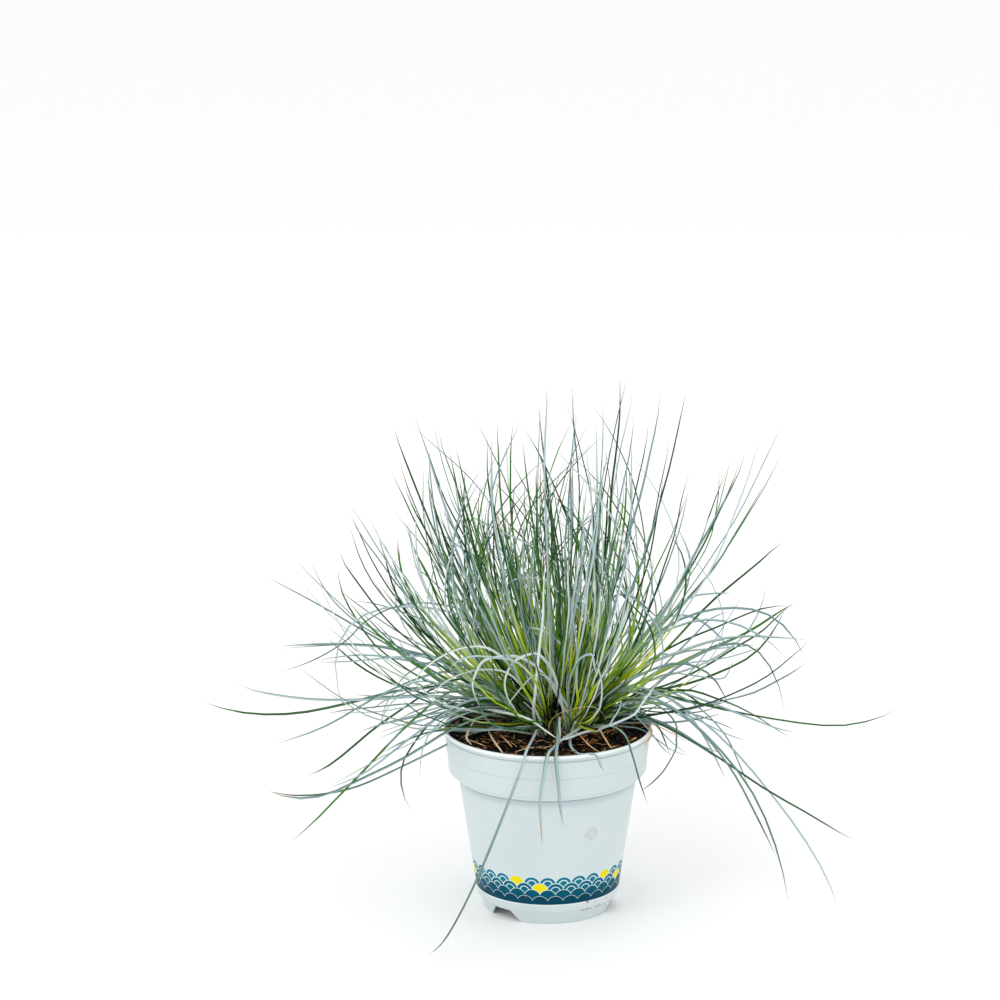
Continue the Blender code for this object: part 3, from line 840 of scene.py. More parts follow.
# %% Long stray leaves
STRAYS = [
    # Two points on the way and the tip of each, in millimetres
    # Left side
    ((-71, 16, 126), (-136, 23, 110), (-202, 30, 113)),
    ((-62, 1, 124), (-121, -6, 124), (-179, -12, 137)),
    ((-56, -6, 141), (-104, -16, 125), (-156, -27, 104)),
    ((-55, -24, 112), (-106, -52, 90), (-156, -79, 94)),
    ((-53, -19, 134), (-99, -40, 99), (-145, -60, 57)),
    ((-56, 12, 131), (-101, 14, 100), (-142, 20, 70)),
    ((-44, -22, 129), (-83, -45, 109), (-124, -68, 91)),
    ((-44, -14, 127), (-76, -32, 109), (-77, -44, 70)),
    ((-24, -11, 121), (-56, -36, 124), (-72, -49, 88)),
    ((-36, 8, 165), (-101, -1, 175), (-114, -3, 110)),
    ((-45, 27, 133), (-102, 41, 142), (-159, 56, 139)),
    ((-39, 18, 129), (-86, 22, 142), (-136, 27, 138)),
    ((-54, 39, 123), (-112, 63, 149), (-170, 86, 176)),
    # Right side
    ((70, 3, 125), (140, -4, 111), (202, -9, 121)),
    ((56, -17, 131), (104, -43, 97), (136, -60, 21)),
    ((67, -11, 128), (125, -30, 79), (166, -43, 10)),
    ((59, -15, 116), (118, -41, 87), (172, -65, 60)),
    ((53, -14, 122), (73, -38, 110), (50, -55, 83)),
    ((36, -14, 113), (48, -40, 110), (58, -54, 76)),
    ((72, 6, 127), (108, 4, 118), (142, 3, 98)),
    ((57, 30, 133), (97, 43, 169), (140, 57, 203)),
    ((58, 41, 122), (104, 65, 132), (131, 79, 173)),
    ((54, 18, 149), (105, 22, 172), (151, 27, 138)),
    ((52, 32, 132), (96, 50, 152), (144, 69, 160)),
    ((48, 7, 144), (92, -1, 168), (137, -9, 149)),
    ((56, 22, 130), (102, 31, 150), (145, 38, 170)),
    ((52, 11, 138), (99, 8, 156), (150, 4, 157)),
    ((59, -4, 130), (103, -20, 162), (135, -32, 122)),
    ((58, 27, 119), (105, 38, 130), (140, 47, 165)),
    ((42, -4, 130), (76, -22, 148), (104, -37, 126)),
    # Over the front rim
    ((-8, -50, 119), (-25, -81, 77), (-66, -99, 5)),
    ((1, -43, 119), (-2, -67, 105), (-3, -66, 56)),
    ((7, -36, 118), (6, -66, 107), (9, -71, 69)),
    ((16, -34, 115), (26, -54, 114), (32, -66, 99)),
    # Nearest and farthest
    ((14, -50, 154), (22, -115, 182), (26, -185, 190)),
    ((-10, -46, 152), (-32, -100, 178), (-52, -158, 186)),
    ((2, 78, 160), (-8, 134, 166), (-14, 185, 142)),
    ((52, 72, 146), (88, 120, 138), (116, 158, 104)),
]
print("stray leaves:", len(STRAYS))

# %% [markdown]
# Above, the clump ends in a ragged crown of single tips. Only the tips are given, and the leaves below
# them arch by themselves.

# %% Tips of the upper outline
HIGH_TIPS = [
    # In millimetres
    (14, 60, 298), (0, -20, 313), (50, 60, 296), (64, 0, 304), (80, 20, 302), (-31, -40, 289),
    (-58, 60, 260), (-87, 0, 285), (-74, -40, 300), (134, 60, 227), (134, 0, 287), (-104, 40, 214),
    (-97, 0, 194), (-112, -30, 190), (111, 90, 250), (132, -60, 232), (146, 60, 165), (150, 0, 146),
    (146, -60, 175), (-90, 20, 255), (28, 20, 285), (109, -60, 283), (-25, 100, 264), (30, -110, 290),
]
print("tips of the upper outline:", len(HIGH_TIPS))

# %% [markdown]
# Each leaf is a cubic Bezier curve, as in Blender's curve objects, but worked out here so that the
# leaf's section can turn along it. One kind passes through given points, and the other arches.

# %% Curves of the leaves
def curve_point(controls, t):
    a, b, c, d = controls
    s = 1 - t
    return a * s**3 + b * (3 * s * s * t) + c * (3 * s * t * t) + d * t**3


def curve_direction(controls, t):
    a, b, c, d = controls
    s = 1 - t
    return ((b - a) * (s * s) + (c - b) * (2 * s * t) + (d - c) * (t * t)).normalized()


def controls_through(root, first, second, tip):
    """Control points of the curve that passes its two middle points a third and two thirds along."""
    b = (root * -5 + first * 18 - second * 9 + tip * 2) / 6
    c = (root * 2 - first * 9 + second * 18 - tip * 5) / 6
    return root, b, c, tip


def controls_arched(root, tip, bow, sway):
    """Control points of a leaf that starts steeper than its chord by bow, and swings to a side by sway."""
    chord = tip - root
    across = sideways(azimuth_of(chord))
    rise = Matrix.Rotation(bow, 3, across)
    fall = Matrix.Rotation(-bow, 3, across)
    swing = across * (chord.length * math.tan(sway) / 3)
    return root, root + rise @ chord / 3 + swing, tip - fall @ chord / 3 + swing, tip


example = controls_arched(Vector((0, 0, 0)), Vector((100, 0, 0)), math.radians(45), 0)
print("rise of a level arch of 100 mm that starts at 45 degrees:", round(curve_point(example, 0.5).z), "mm")

# %% [markdown]
# Main leaves never pass through one another. Each is a three-sided prism here, as in the frame, and a
# search tree of its faces answers quickly whether another one touches it.

# %% Prisms of the main leaves
BLADE_WIDTH = 2.0 * MM
BLADE_DEPTH = 1.5 * MM
# Shares of a leaf's length at which its prism has a section
BLADE_RINGS = (0.06, 0.25, 0.45, 0.66, 0.86)
PLUG_TOP_RADIUS = 4.9 * MM


def blade_ring(controls, t, width):
    """Three corners of the prism at a place along the curve."""
    middle = curve_point(controls, t)
    along = curve_direction(controls, t)
    side = sideways(azimuth_of(controls[3] - controls[0]))
    side = (side - along * side.dot(along)).normalized()
    keel = side.cross(along)
    depth = width * BLADE_DEPTH / BLADE_WIDTH
    return [middle + side * (width / 2), middle - side * (width / 2), middle + keel * depth]


def blade_width(t):
    return BLADE_WIDTH * min(1, 0.25 + 2.2 * (1 - t))


def solid_tree(rings, tip):
    """A search tree of the faces of a prism that ends in a tip."""
    points = [point for ring in rings for point in ring] + [tip]
    faces = [(0, 1, 2)]
    for level in range(len(rings) - 1):
        low = 3 * level
        for i in range(3):
            j = (i + 1) % 3
            faces.append((low + i, low + j, low + 3 + j, low + 3 + i))
    last = 3 * (len(rings) - 1)
    faces += [(last + i, last + (i + 1) % 3, len(points) - 1) for i in range(3)]
    return BVHTree.FromPolygons(points, faces)


class MainLeaf:
    """A main leaf's curve, with search trees of its whole length and of its part above the crown."""

    def __init__(self, tuft, controls, stray):
        self.tuft = tuft
        self.controls = controls
        self.stray = stray
        rings = [blade_ring(controls, t, blade_width(t) + 2 * GAP) for t in BLADE_RINGS]
        root = blade_ring(controls, 0, PLUG_TOP_RADIUS / 4)
        self.whole = solid_tree([root] + rings, controls[3])
        self.above = solid_tree(rings, controls[3])

    def touches(self, other):
        if self.tuft is other.tuft:
            return bool(self.above.overlap(other.above))
        return bool(self.whole.overlap(other.whole))


print("width of a main leaf near its tip:", round(blade_width(0.95) / MM, 2), "mm")

# %% [markdown]
# A leaf may bend over the rim but not through it, and bare soil shows in front of the crown. These
# rules are tested at points along the curve, which is enough for smooth leaves.

# %% Rules that every leaf keeps
BLADE_CLEARANCE = 2.2 * MM
PATH_PARTS = 16
OPEN_POINTS = 12
OPEN_HALF_WIDTH = 62 * MM
OPEN_FROM = -14 * MM
OPEN_ABOVE = 3 * MM
OPEN_SLOPE = 0.33
HALF_WIDTH = 202.0 * MM
HALF_DEPTH = 185.0 * MM
LOWEST_TIP = 2 * MM
SLACK = 0.01 * MM


def clear_of_pot(point, clearance=BLADE_CLEARANCE):
    radius = point.to_2d().length
    if radius > RIM_RADIUS + clearance:
        return True
    on_rim = radius > BAND_TOP_RADIUS - WALL - clearance
    return point.z > (POT_HEIGHT if on_rim else SOIL_TOP) + clearance


def clears_pot(controls):
    corners = [curve_point(controls, t) for t in (*BLADE_RINGS, 1)]
    for start, end in zip(corners, corners[1:]):
        if not all(clear_of_pot(start.lerp(end, i / PATH_PARTS)) for i in range(PATH_PARTS + 1)):
            return False
    return True


def leaves_soil_open(controls):
    """Whether a leaf keeps off the bare soil in front of the crown, as seen from a little above."""
    for i in range(OPEN_POINTS + 1):
        point = curve_point(controls, i / OPEN_POINTS)
        if point.y < OPEN_FROM and abs(point.x) < OPEN_HALF_WIDTH:
            if point.z < SOIL_TOP + OPEN_ABOVE + OPEN_SLOPE * (OPEN_FROM - point.y):
                return False
    return True


def inside_box(tip):
    inside = abs(tip.x) < HALF_WIDTH + SLACK and abs(tip.y) < HALF_DEPTH + SLACK
    return inside and tip.z > LOWEST_TIP


print("lowest way over the rim:", round((POT_HEIGHT + BLADE_CLEARANCE) / MM, 1), "mm")

# %% [markdown]
# The crown has one tuft in the middle, five round it and ten outside, each leaning outwards. A tuft
# shares its leaves out round its plug, each on the side from which it can leave without crossing its
# neighbours.

# %% Tufts of the crown
CROWN_CENTRE = Vector((8.0 * MM, 14.0 * MM, SOIL_TOP + GAP))
PLUG_RADIUS = 5.4 * MM
PLUG_HEIGHT = 7.0 * MM
# Number of tufts, distance from the middle and lean outwards
INNER_RING = (5, 11.6 * MM, 0.8 * MM)
OUTER_RING = (10, 23.2 * MM, 2.6 * MM)


class Tuft:
    """A plug of sheaths at the crown, and the targets that its leaves reach for."""

    def __init__(self, name, place, lean):
        self.name = name
        self.azimuth = azimuth_of(place - CROWN_CENTRE) if lean else 0
        self.base = place
        self.top = place + heading(self.azimuth) * lean + Vector((0, 0, PLUG_HEIGHT))
        self.targets = []
        self.blades = []

    def order_targets(self):
        """Give each target a sector of the plug, in the order of the ways to them."""
        ways = [(target["tip"] - self.top).normalized() for target in self.targets]
        middle = sum(ways, Vector()).normalized()
        across = sideways(azimuth_of(middle))
        steep = middle.cross(across)
        if steep.z < 0:
            steep.negate()
        for target, way in zip(self.targets, ways):
            target["side"] = azimuth_of(middle) + math.atan2(way.dot(across), -way.dot(steep))
        self.targets.sort(key=lambda target: target["side"] % math.tau)
        count = len(self.targets)
        even = [math.tau * i / count for i in range(count)]
        turns = [math.remainder(target["side"] - a, math.tau) for target, a in zip(self.targets, even)]
        for target, a in zip(self.targets, even):
            target["sector"] = sum(turns) / count + a


def ring_of_tufts(name, count, radius, lean):
    made = []
    for i in range(count):
        place = CROWN_CENTRE + heading(math.tau * (i + 0.5) / count) * radius
        made.append(Tuft(f"{name}_{i + 1}", place, lean))
    return made


tufts = {
    "centre": [Tuft("tuft_centre", CROWN_CENTRE, 0)],
    "inner": ring_of_tufts("tuft_inner", *INNER_RING),
    "outer": ring_of_tufts("tuft_outer", *OUTER_RING),
}
all_tufts = [tuft for ring in tufts.values() for tuft in ring]
print("tufts:", len(all_tufts))

# %% [markdown]
# Steep leaves belong to the middle tufts and low leaves to the outer ones. Besides the strays and the
# upper outline, tips are spread evenly over a dome by the golden angle, as seeds are on a flower head.

# %% Share out the tips
SEED = 29
SPREAD_BLADES = 165
GOLDEN_ANGLE = math.pi * (3 - math.sqrt(5))
# Sines of the slopes of the lowest and steepest leaves, and of those of the middle and inner tufts
LOWEST_SINE = -0.12
HIGHEST_SINE = 0.99
MIDDLE_SINE = 0.96
INNER_SINE = 0.70
REACH_OUT = 160 * MM
REACH_UP = 192 * MM
SHORTEST_SHARE = 0.76
OWN_SPACE = math.radians(7)
SPARSE_FROM = 68 * MM
SPARSE_BELOW = 235 * MM


def nearest_tuft(tip):
    way = (tip - CROWN_CENTRE).normalized()
    if way.z > MIDDLE_SINE:
        return tufts["centre"][0]
    ring = tufts["inner"] if way.z > INNER_SINE else tufts["outer"]
    azimuth = azimuth_of(way)
    return min(ring, key=lambda tuft: abs(math.remainder(tuft.azimuth - azimuth, math.tau)))


def spread_tips(rng):
    """Tips over a dome, more of them near its foot."""
    tips = []
    for i in range(SPREAD_BLADES):
        sine = LOWEST_SINE + (HIGHEST_SINE - LOWEST_SINE) * ((i + 0.5) / SPREAD_BLADES) ** 0.75
        cosine = math.sqrt(1 - sine * sine)
        reach = REACH_OUT + (REACH_UP - REACH_OUT) * max(0, sine)
        reach *= rng.uniform(SHORTEST_SHARE, 1.0)
        azimuth = i * GOLDEN_ANGLE + rng.uniform(-0.1, 0.1)
        tips.append(CROWN_CENTRE + (heading(azimuth) * cosine + Vector((0, 0, sine))) * reach)
    return tips


def has_room(tip, others):
    """Whether a tip is neither beside another one nor on the sparse right flank."""
    way = tip - CROWN_CENTRE
    if any(way.angle(other - CROWN_CENTRE) < OWN_SPACE for other in others):
        return False
    return not (tip.x > SPARSE_FROM and tip.z < SPARSE_BELOW)


rng = random.Random(SEED)
strays = [[Vector(point) * MM for point in points] for points in STRAYS]
high = [Vector(tip) * MM for tip in HIGH_TIPS]
taken = [points[2] for points in strays] + high
spread = [tip for tip in spread_tips(rng) if has_room(tip, taken)]
targets = [{"tip": tip, "way": way, "rank": 0} for *way, tip in strays]
for rank, tips in ((1, high), (2, spread)):
    targets += [{"tip": tip, "way": None, "rank": rank} for tip in tips]
for target in targets:
    nearest_tuft(target["tip"]).targets.append(target)
for tuft in all_tufts:
    tuft.order_targets()
print("tips to reach:", len(targets))

# %% [markdown]
# Now the main leaves grow, in the same order and with the same random draws as the frame's solids, so
# each one runs through the solid that stands for it. A leaf that touches another is drawn again with a
# little change.

# %% Grow the main leaves
MOST_ATTEMPTS = 90
CHANGE_STEP = 0.4 * MM
MOST_STEPS = 30
FIXED_TIP_ATTEMPTS = 6
ROOT_SHARE = 0.66
LEVEL_BOW = 36
BOW_LOST_UPRIGHT = 30
MOST_SWAY = 14


def try_blade(tuft, target, rng, attempt):
    """Control points of a leaf to a target, changed more with each attempt."""
    root = tuft.top + heading(target["sector"]) * (ROOT_SHARE * PLUG_TOP_RADIUS)
    change = min(attempt, MOST_STEPS) * CHANGE_STEP
    shift = Vector([rng.uniform(-change, change) for _ in range(3)])
    tip = target["tip"]
    if target["way"]:
        first, second = [point + shift for point in target["way"]]
        return controls_through(root, first, second, tip)
    if attempt > FIXED_TIP_ATTEMPTS:
        tip = tip + shift
    slope = max(0, (tip - root).normalized().z)
    bow = math.radians(rng.uniform(0.8, 1.2) * (LEVEL_BOW - BOW_LOST_UPRIGHT * slope))
    sway = math.radians(rng.uniform(-MOST_SWAY, MOST_SWAY))
    return controls_arched(root, tip, bow, sway)


def grow_blades(tufts, rng):
    grown = []
    waiting = [(tuft, target) for tuft in tufts for target in tuft.targets]
    waiting.sort(key=lambda pair: pair[1]["rank"])
    for tuft, target in waiting:
        for attempt in range(MOST_ATTEMPTS):
            controls = try_blade(tuft, target, rng, attempt)
            if not clears_pot(controls) or not inside_box(controls[3]):
                continue
            if target["rank"] == 2 and not leaves_soil_open(controls):
                continue
            blade = MainLeaf(tuft, controls, stray=target["rank"] == 0)
            if not any(blade.touches(other) for other in grown):
                grown.append(blade)
                tuft.blades.append(blade)
                break
    return grown


main_leaves = grow_blades(all_tufts, rng)
print("main leaves:", len(main_leaves))

# %% [markdown]
# Fescue leaves are folded lengthwise like a gutter. The outside of the fold has a blue-white bloom of
# wax, and the inside and the edges stay green. A section of six points gives a keel, two flanks, two
# edges and a groove. Each leaf starts rolled to a side of its own and twists slowly, so some show the
# keel and others the green groove.

# %% Leaf shape
LEAF_STEPS = 16
SECTION = [
    # Across, towards the keel, and how far the green of the inside shows
    (1.0, -0.15, 1.0), (0.45, 0.60, 0.42), (0.0, 0.95, 0.0),
    (-0.55, 0.60, 0.0), (-1.0, -0.15, 0.7), (0.0, 0.40, 1.0),
]


def leaf_width(t):
    """Share of the full width: narrower at the sheath, full from a sixth on, and drawn out to a tip."""
    return (0.72 + 0.28 * min(1, t / 0.16)) * (1 - 0.10 * t - 0.42 * t**4) * min(1, 7.0 * (1 - t) + 0.15)


def add_leaf(mesh, places, width, roll, twist, tone, kind, rng, wander=1.8):
    """One leaf through places from its foot in the soil to its tip."""
    azimuth = azimuth_of(places[-1] - places[0])
    phase = rng.uniform(0, 100)
    last = len(places) - 1
    rings = []
    traits = []
    for i, place in enumerate(places[:-1]):
        t = i / last
        along = (places[i + 1] - places[max(0, i - 1)]).normalized()
        side = sideways(azimuth)
        side = (side - along * side.dot(along)).normalized()
        keel = side.cross(along)
        turn = roll + twist * t + 0.5 * noise.noise(Vector((phase, 3 * t, 0)))
        side, keel = (
            side * math.cos(turn) + keel * math.sin(turn),
            keel * math.cos(turn) - side * math.sin(turn),
        )
        shift = side * noise.noise(Vector((phase, 0, 5 * t)))
        shift += keel * noise.noise(Vector((0, phase, 5 * t)))
        middle = place + shift * (wander * MM * min(1, 3 * t))
        half = width * leaf_width(t) / 2
        rings.append([middle + side * (u * half) + keel * ((v - 0.4) * half) for u, v, _ in SECTION])
        traits.append([(t, tone, inside, kind) for _, _, inside in SECTION])
    mesh.add(rings, traits, places[-1], (1.0, tone, 0.5, kind))


print("share of the width halfway along a leaf:", round(leaf_width(0.5), 2))

# %% [markdown]
# A leaf's line is given in one of two ways: as a curve that rises from a foot in the soil, or as places
# that were read one by one. A Catmull-Rom curve passes smoothly through such places.

# %% Lines of the leaves
def curve_places(foot, controls, steps=LEAF_STEPS):
    """Places from a foot in the soil, through the curve's root, to its tip."""
    places = [foot, foot.lerp(controls[0], 0.6)]
    return places + [curve_point(controls, (i + 1) / steps) for i in range(steps)]


def smooth_places(points, parts=4):
    """Places on a smooth line through points given in millimetres."""
    knots = [Vector(point) * MM for point in points]
    knots = [knots[0] * 2 - knots[1]] + knots + [knots[-1] * 2 - knots[-2]]
    places = []
    for a, b, c, d in zip(knots, knots[1:], knots[2:], knots[3:]):
        for i in range(parts):
            s = i / parts
            square = (a * 2 - b * 5 + c * 4 - d) * s**2
            places.append(0.5 * (b * 2 + (c - a) * s + square + (b * 3 - a - c * 3 + d) * s**3))
    return places + [knots[-2]]


print("places on a line through three points:", len(smooth_places([(0, 0, 0), (0, 0, 1), (0, 1, 2)])))

# %% [markdown]
# The clump has three or four leaves for each main one. These lean near a main leaf of the same tuft
# and may cross each other, as real ones do. They leave open what is open on the real clump: the soil
# at both sides, the space in front of the crown and two sparse flanks.

# %% Rules of the filling leaves
SIDE_OPEN_FROM = 15 * MM
SIDE_OPEN_SLOPE = 0.27
FRONT_OPEN_SLOPE = 0.9
FILL_OPEN_ABOVE = 4 * MM
CROWN_X = 5 * MM
CROWN_HALF = 26 * MM
FILL_OPEN_POINTS = 13
LOOPS_BEFORE = -11 * MM
LOOPS_LEFT = -52 * MM
LOOPS_RIGHT = 45 * MM
LOOPS_TOP = 168 * MM
HANG_BEFORE = -50 * MM
HANG_BELOW = 105 * MM
HANG_HALF = 70 * MM
SPARSE_PLACES = [
    # Least and most x, least and most height in millimetres, and the share of tips to leave out
    (50, 300, 235, 400, 0.85), (48, 300, 0, 235, 0.985),
    (-300, -50, 182, 235, 0.64), (-300, -50, 0, 182, 0.975), (-50, -20, 0, 165, 0.92),
]


def leaves_front_open(controls):
    """Whether a filling leaf keeps off the soil at both sides, and off the loops before the crown."""
    for i in range(1, FILL_OPEN_POINTS + 1):
        point = curve_point(controls, i / FILL_OPEN_POINTS)
        beside = abs(point.x - CROWN_X) > CROWN_HALF
        far, slope = (SIDE_OPEN_FROM, SIDE_OPEN_SLOPE) if beside else (OPEN_FROM, FRONT_OPEN_SLOPE)
        if point.y < far and abs(point.x) < OPEN_HALF_WIDTH:
            if point.z < SOIL_TOP + FILL_OPEN_ABOVE + slope * (far - point.y):
                return False
        if point.y < LOOPS_BEFORE and LOOPS_LEFT < point.x < LOOPS_RIGHT and point.z < LOOPS_TOP:
            return False
    return True


def thinned(tip):
    """The share of leaves to leave out where the clump is sparse: at both sides, and high on the right."""
    x, z = tip.x / MM, tip.z / MM
    for left, right, low, high, share in SPARSE_PLACES:
        if left < x <= right and low < z <= high:
            return share
    return 0


def over_front_rim(tip):
    """The leaves that hang over the front rim are drawn further on, each along its own way."""
    return tip.y < HANG_BEFORE and tip.z < HANG_BELOW and abs(tip.x) < HANG_HALF


print("share left out at the left side:", thinned(Vector((-100, 0, 150)) * MM))

# %% [markdown]
# Leaves differ with age and place. Steep ones have a fresh lime foot, low old ones turn dark green, and
# some have a dry tip. The kind is a number that the material reads from each point.

# %% Kinds of leaf
PLAIN, FRESH, DRY_TIP, YOUNG, AGED, DEAD = 0.0, 0.15, 0.3, 0.6, 0.8, 1.0
# Sines of the slopes from which a leaf counts as steep or middling
STEEP = 0.45
MIDDLING = 0.25
# Chances that part the kinds
DRY_BELOW = 0.14
FRESH_BELOW_STEEP = 0.88
FRESH_BELOW_MIDDLING = 0.62
AGED_ABOVE = 0.58


def kind_of(controls, rng):
    """The kind of a leaf, from its slope and by chance."""
    slope = (controls[3] - controls[0]).normalized().z
    chance = rng.random()
    if chance < DRY_BELOW:
        return DRY_TIP
    if slope > STEEP:
        return FRESH if chance < FRESH_BELOW_STEEP else PLAIN
    if slope > MIDDLING:
        return FRESH if chance < FRESH_BELOW_MIDDLING else PLAIN
    return AGED if chance > AGED_ABOVE else PLAIN


print("steep from", round(math.degrees(math.asin(STEEP))), "degrees")

# %% [markdown]
# A filling leaf takes the way of a main leaf, scattered by random numbers, and starts anywhere on the
# plug. Where it would cross an open place it is drawn again, up to eight times.

# %% One filling leaf
FILL_ATTEMPTS = 8
FILL_CLEARANCE = 1.2 * MM
MOST_SWING = 50
PATH_POINTS = 12


def fill_leaf(tuft, guide, rng, shares, scatter, bows, swing):
    """Control points of a leaf that leans near a main leaf, or None where no clear way was found."""
    way = guide.controls[3] - guide.controls[0]
    for _ in range(FILL_ATTEMPTS):
        length = way.length * rng.uniform(*shares)
        lean = Vector([rng.gauss(0, scatter) for _ in range(3)])
        tip = guide.controls[0] + (way.normalized() + lean).normalized() * length
        around = rng.uniform(0, math.tau)
        root = tuft.top + heading(around) * (PLUG_RADIUS * math.sqrt(rng.random()))
        slope = max(0, (tip - root).normalized().z)
        bow = math.radians(rng.uniform(*bows)) * (1.0 - 0.75 * slope)
        sway = math.radians(max(-MOST_SWING, min(MOST_SWING, rng.gauss(0, swing))))
        controls = controls_arched(root, tip, bow, sway)
        path = [curve_point(controls, i / PATH_POINTS) for i in range(2, PATH_POINTS + 1)]
        clear = all(clear_of_pot(point, FILL_CLEARANCE) and inside_box(point) for point in path)
        if clear and leaves_front_open(controls) and rng.random() > thinned(tip):
            return controls
    return None


print("attempts at most for a filling leaf:", FILL_ATTEMPTS)

# %% [markdown]
# Each tuft gets its main leaves, then long leaves, a few that arch over under their own weight, and
# short inner ones that are half grown and mostly still lime green.

# %% Fill each tuft with leaves
STRAY_WIDTHS = (1.5, 2.0)
MAIN_WIDTHS = (1.2, 1.7)
STRAY_TONES = (0.12, 0.75)
FOOT_DEPTH = Vector((0, 0, 2.0 * MM))
MAIN_FOOT_SHARE = 0.6
FILL_FOOT_SHARE = 0.7
FILLS = [
    # Number, shares of the main leaf's length, scatter, bow and swing in degrees, width in millimetres,
    # and the chances below which a leaf is dead or young
    (33, (0.78, 1.0), 0.21, (20, 66), 32, (1.0, 1.5), 0, 0),
    (6, (0.45, 0.85), 0.22, (60, 100), 30, (0.65, 1.05), 0, 0),
    (21, (0.16, 0.52), 0.22, (16, 50), 12, (0.65, 1.05), 0.04, 0.84),
]


def add_main_leaf(grass, tuft, blade, rng):
    """A leaf on a main leaf's curve; a stray is wider and shows one side of its fold."""
    foot = tuft.base + (blade.controls[0] - tuft.top) * MAIN_FOOT_SHARE - FOOT_DEPTH
    width = rng.uniform(*(STRAY_WIDTHS if blade.stray else MAIN_WIDTHS)) * MM
    tone = rng.uniform(*STRAY_TONES) if blade.stray else rng.random()
    roll = rng.gauss(0, 0.8)
    if blade.stray:
        roll = math.copysign(1.3 + 0.75 * abs(roll), roll)
    twist = rng.gauss(0, 0.8)
    kind = kind_of(blade.controls, rng)
    add_leaf(grass, curve_places(foot, blade.controls), width, roll, twist, tone, kind, rng)


def add_filling_leaf(grass, tuft, rng, shares, scatter, bows, swing, widths, dead, young):
    """A leaf near one of the tuft's main leaves, if a clear way is found."""
    guide = rng.choice(tuft.blades)
    chance = rng.random()
    controls = fill_leaf(tuft, guide, rng, shares, scatter, bows, swing)
    if controls is None:
        return
    kind = kind_of(controls, rng)
    kind = DEAD if chance < dead else YOUNG if chance < young else kind
    foot = tuft.base + (controls[0] - tuft.top) * FILL_FOOT_SHARE - FOOT_DEPTH
    width = rng.uniform(*widths) * MM
    roll = rng.gauss(0, 0.9)
    twist = rng.gauss(0, 1.0)
    tone = rng.random()
    add_leaf(grass, curve_places(foot, controls), width, roll, twist, tone, kind, rng)


leaf_rng = random.Random(SEED + 1)
leaf_piles = {}
for tuft in all_tufts:
    grass = StripMesh()
    for blade in tuft.blades:
        if not over_front_rim(blade.controls[3]):
            add_main_leaf(grass, tuft, blade, leaf_rng)
    for count, *traits in FILLS:
        for _ in range(count):
            add_filling_leaf(grass, tuft, leaf_rng, *traits)
    leaf_piles[tuft.name] = grass
print("leaf faces in tufts:", sum(len(grass.faces) for grass in leaf_piles.values()))

# %% [markdown]
# Some leaves have a shape of their own that the eye finds at once. The first of them are pale loops
# over the left of the crown. Each is drawn through places that were read against the pot's known rings.

# %% Pale loops over the crown
LOOPS = [
    # Width and places in millimetres
    (1.8, (18, 2, 104), (13, -1, 114), (8, -4, 122), (2, -7, 135), (-6, -11, 146), (-15, -16, 153),
     (-25, -21, 155), (-36, -27, 154), (-41, -30, 146), (-42, -30, 138), (-38, -28, 126)),
    (1.8, (11, -3, 104), (8, -5, 124), (3, -9, 142), (-4, -14, 153), (-10, -18, 155), (-19, -24, 152),
     (-24, -28, 143), (-23, -27, 133), (-19, -24, 125), (-16, -22, 120)),
    (1.6, (-1, -2, 104), (-10, -5, 124), (-20, -8, 144), (-34, -12, 157), (-50, -17, 158),
     (-63, -22, 153), (-72, -25, 146), (-76, -26, 139)),
    (1.6, (-1, -8, 104), (-11, -13, 129), (-23, -18, 144), (-39, -25, 148), (-52, -31, 146),
     (-62, -36, 140), (-66, -37, 129)),
    (1.7, (19, 3, 104), (13, -1, 116), (8, -4, 126), (2, -8, 136), (-3, -10, 141), (-8, -13, 141),
     (-13, -17, 137), (-20, -22, 130), (-26, -26, 122)),
    (1.6, (26, 20, 104), (30, 19, 129), (31, 19, 147), (24, 20, 165), (10, 23, 178), (-2, 25, 187),
     (-10, 26, 189), (-18, 28, 187), (-24, 29, 183)),
    (1.6, (17, 6, 104), (15, 6, 127), (13, 5, 142), (9, 4, 153), (2, 2, 161), (-5, 0, 165),
     (-11, -1, 166)),
    (1.7, (-5, -12, 104), (-8, -20, 120), (-7, -22, 134), (-5, -20, 155), (-3, -17, 173), (-2, -14, 192),
     (-1, -11, 209)),
    (1.5, (26, 27, 104), (26, 27, 145), (20, 28, 172), (10, 31, 190), (-3, 34, 202), (-15, 37, 208),
     (-27, 41, 213), (-39, 44, 218), (-51, 47, 225)),
]
print("loops:", len(LOOPS))

# %% [markdown]
# On the left, low leaves lie out over the rim. Their ends droop or lift, so they too are drawn one by
# one, through places read in the same way.

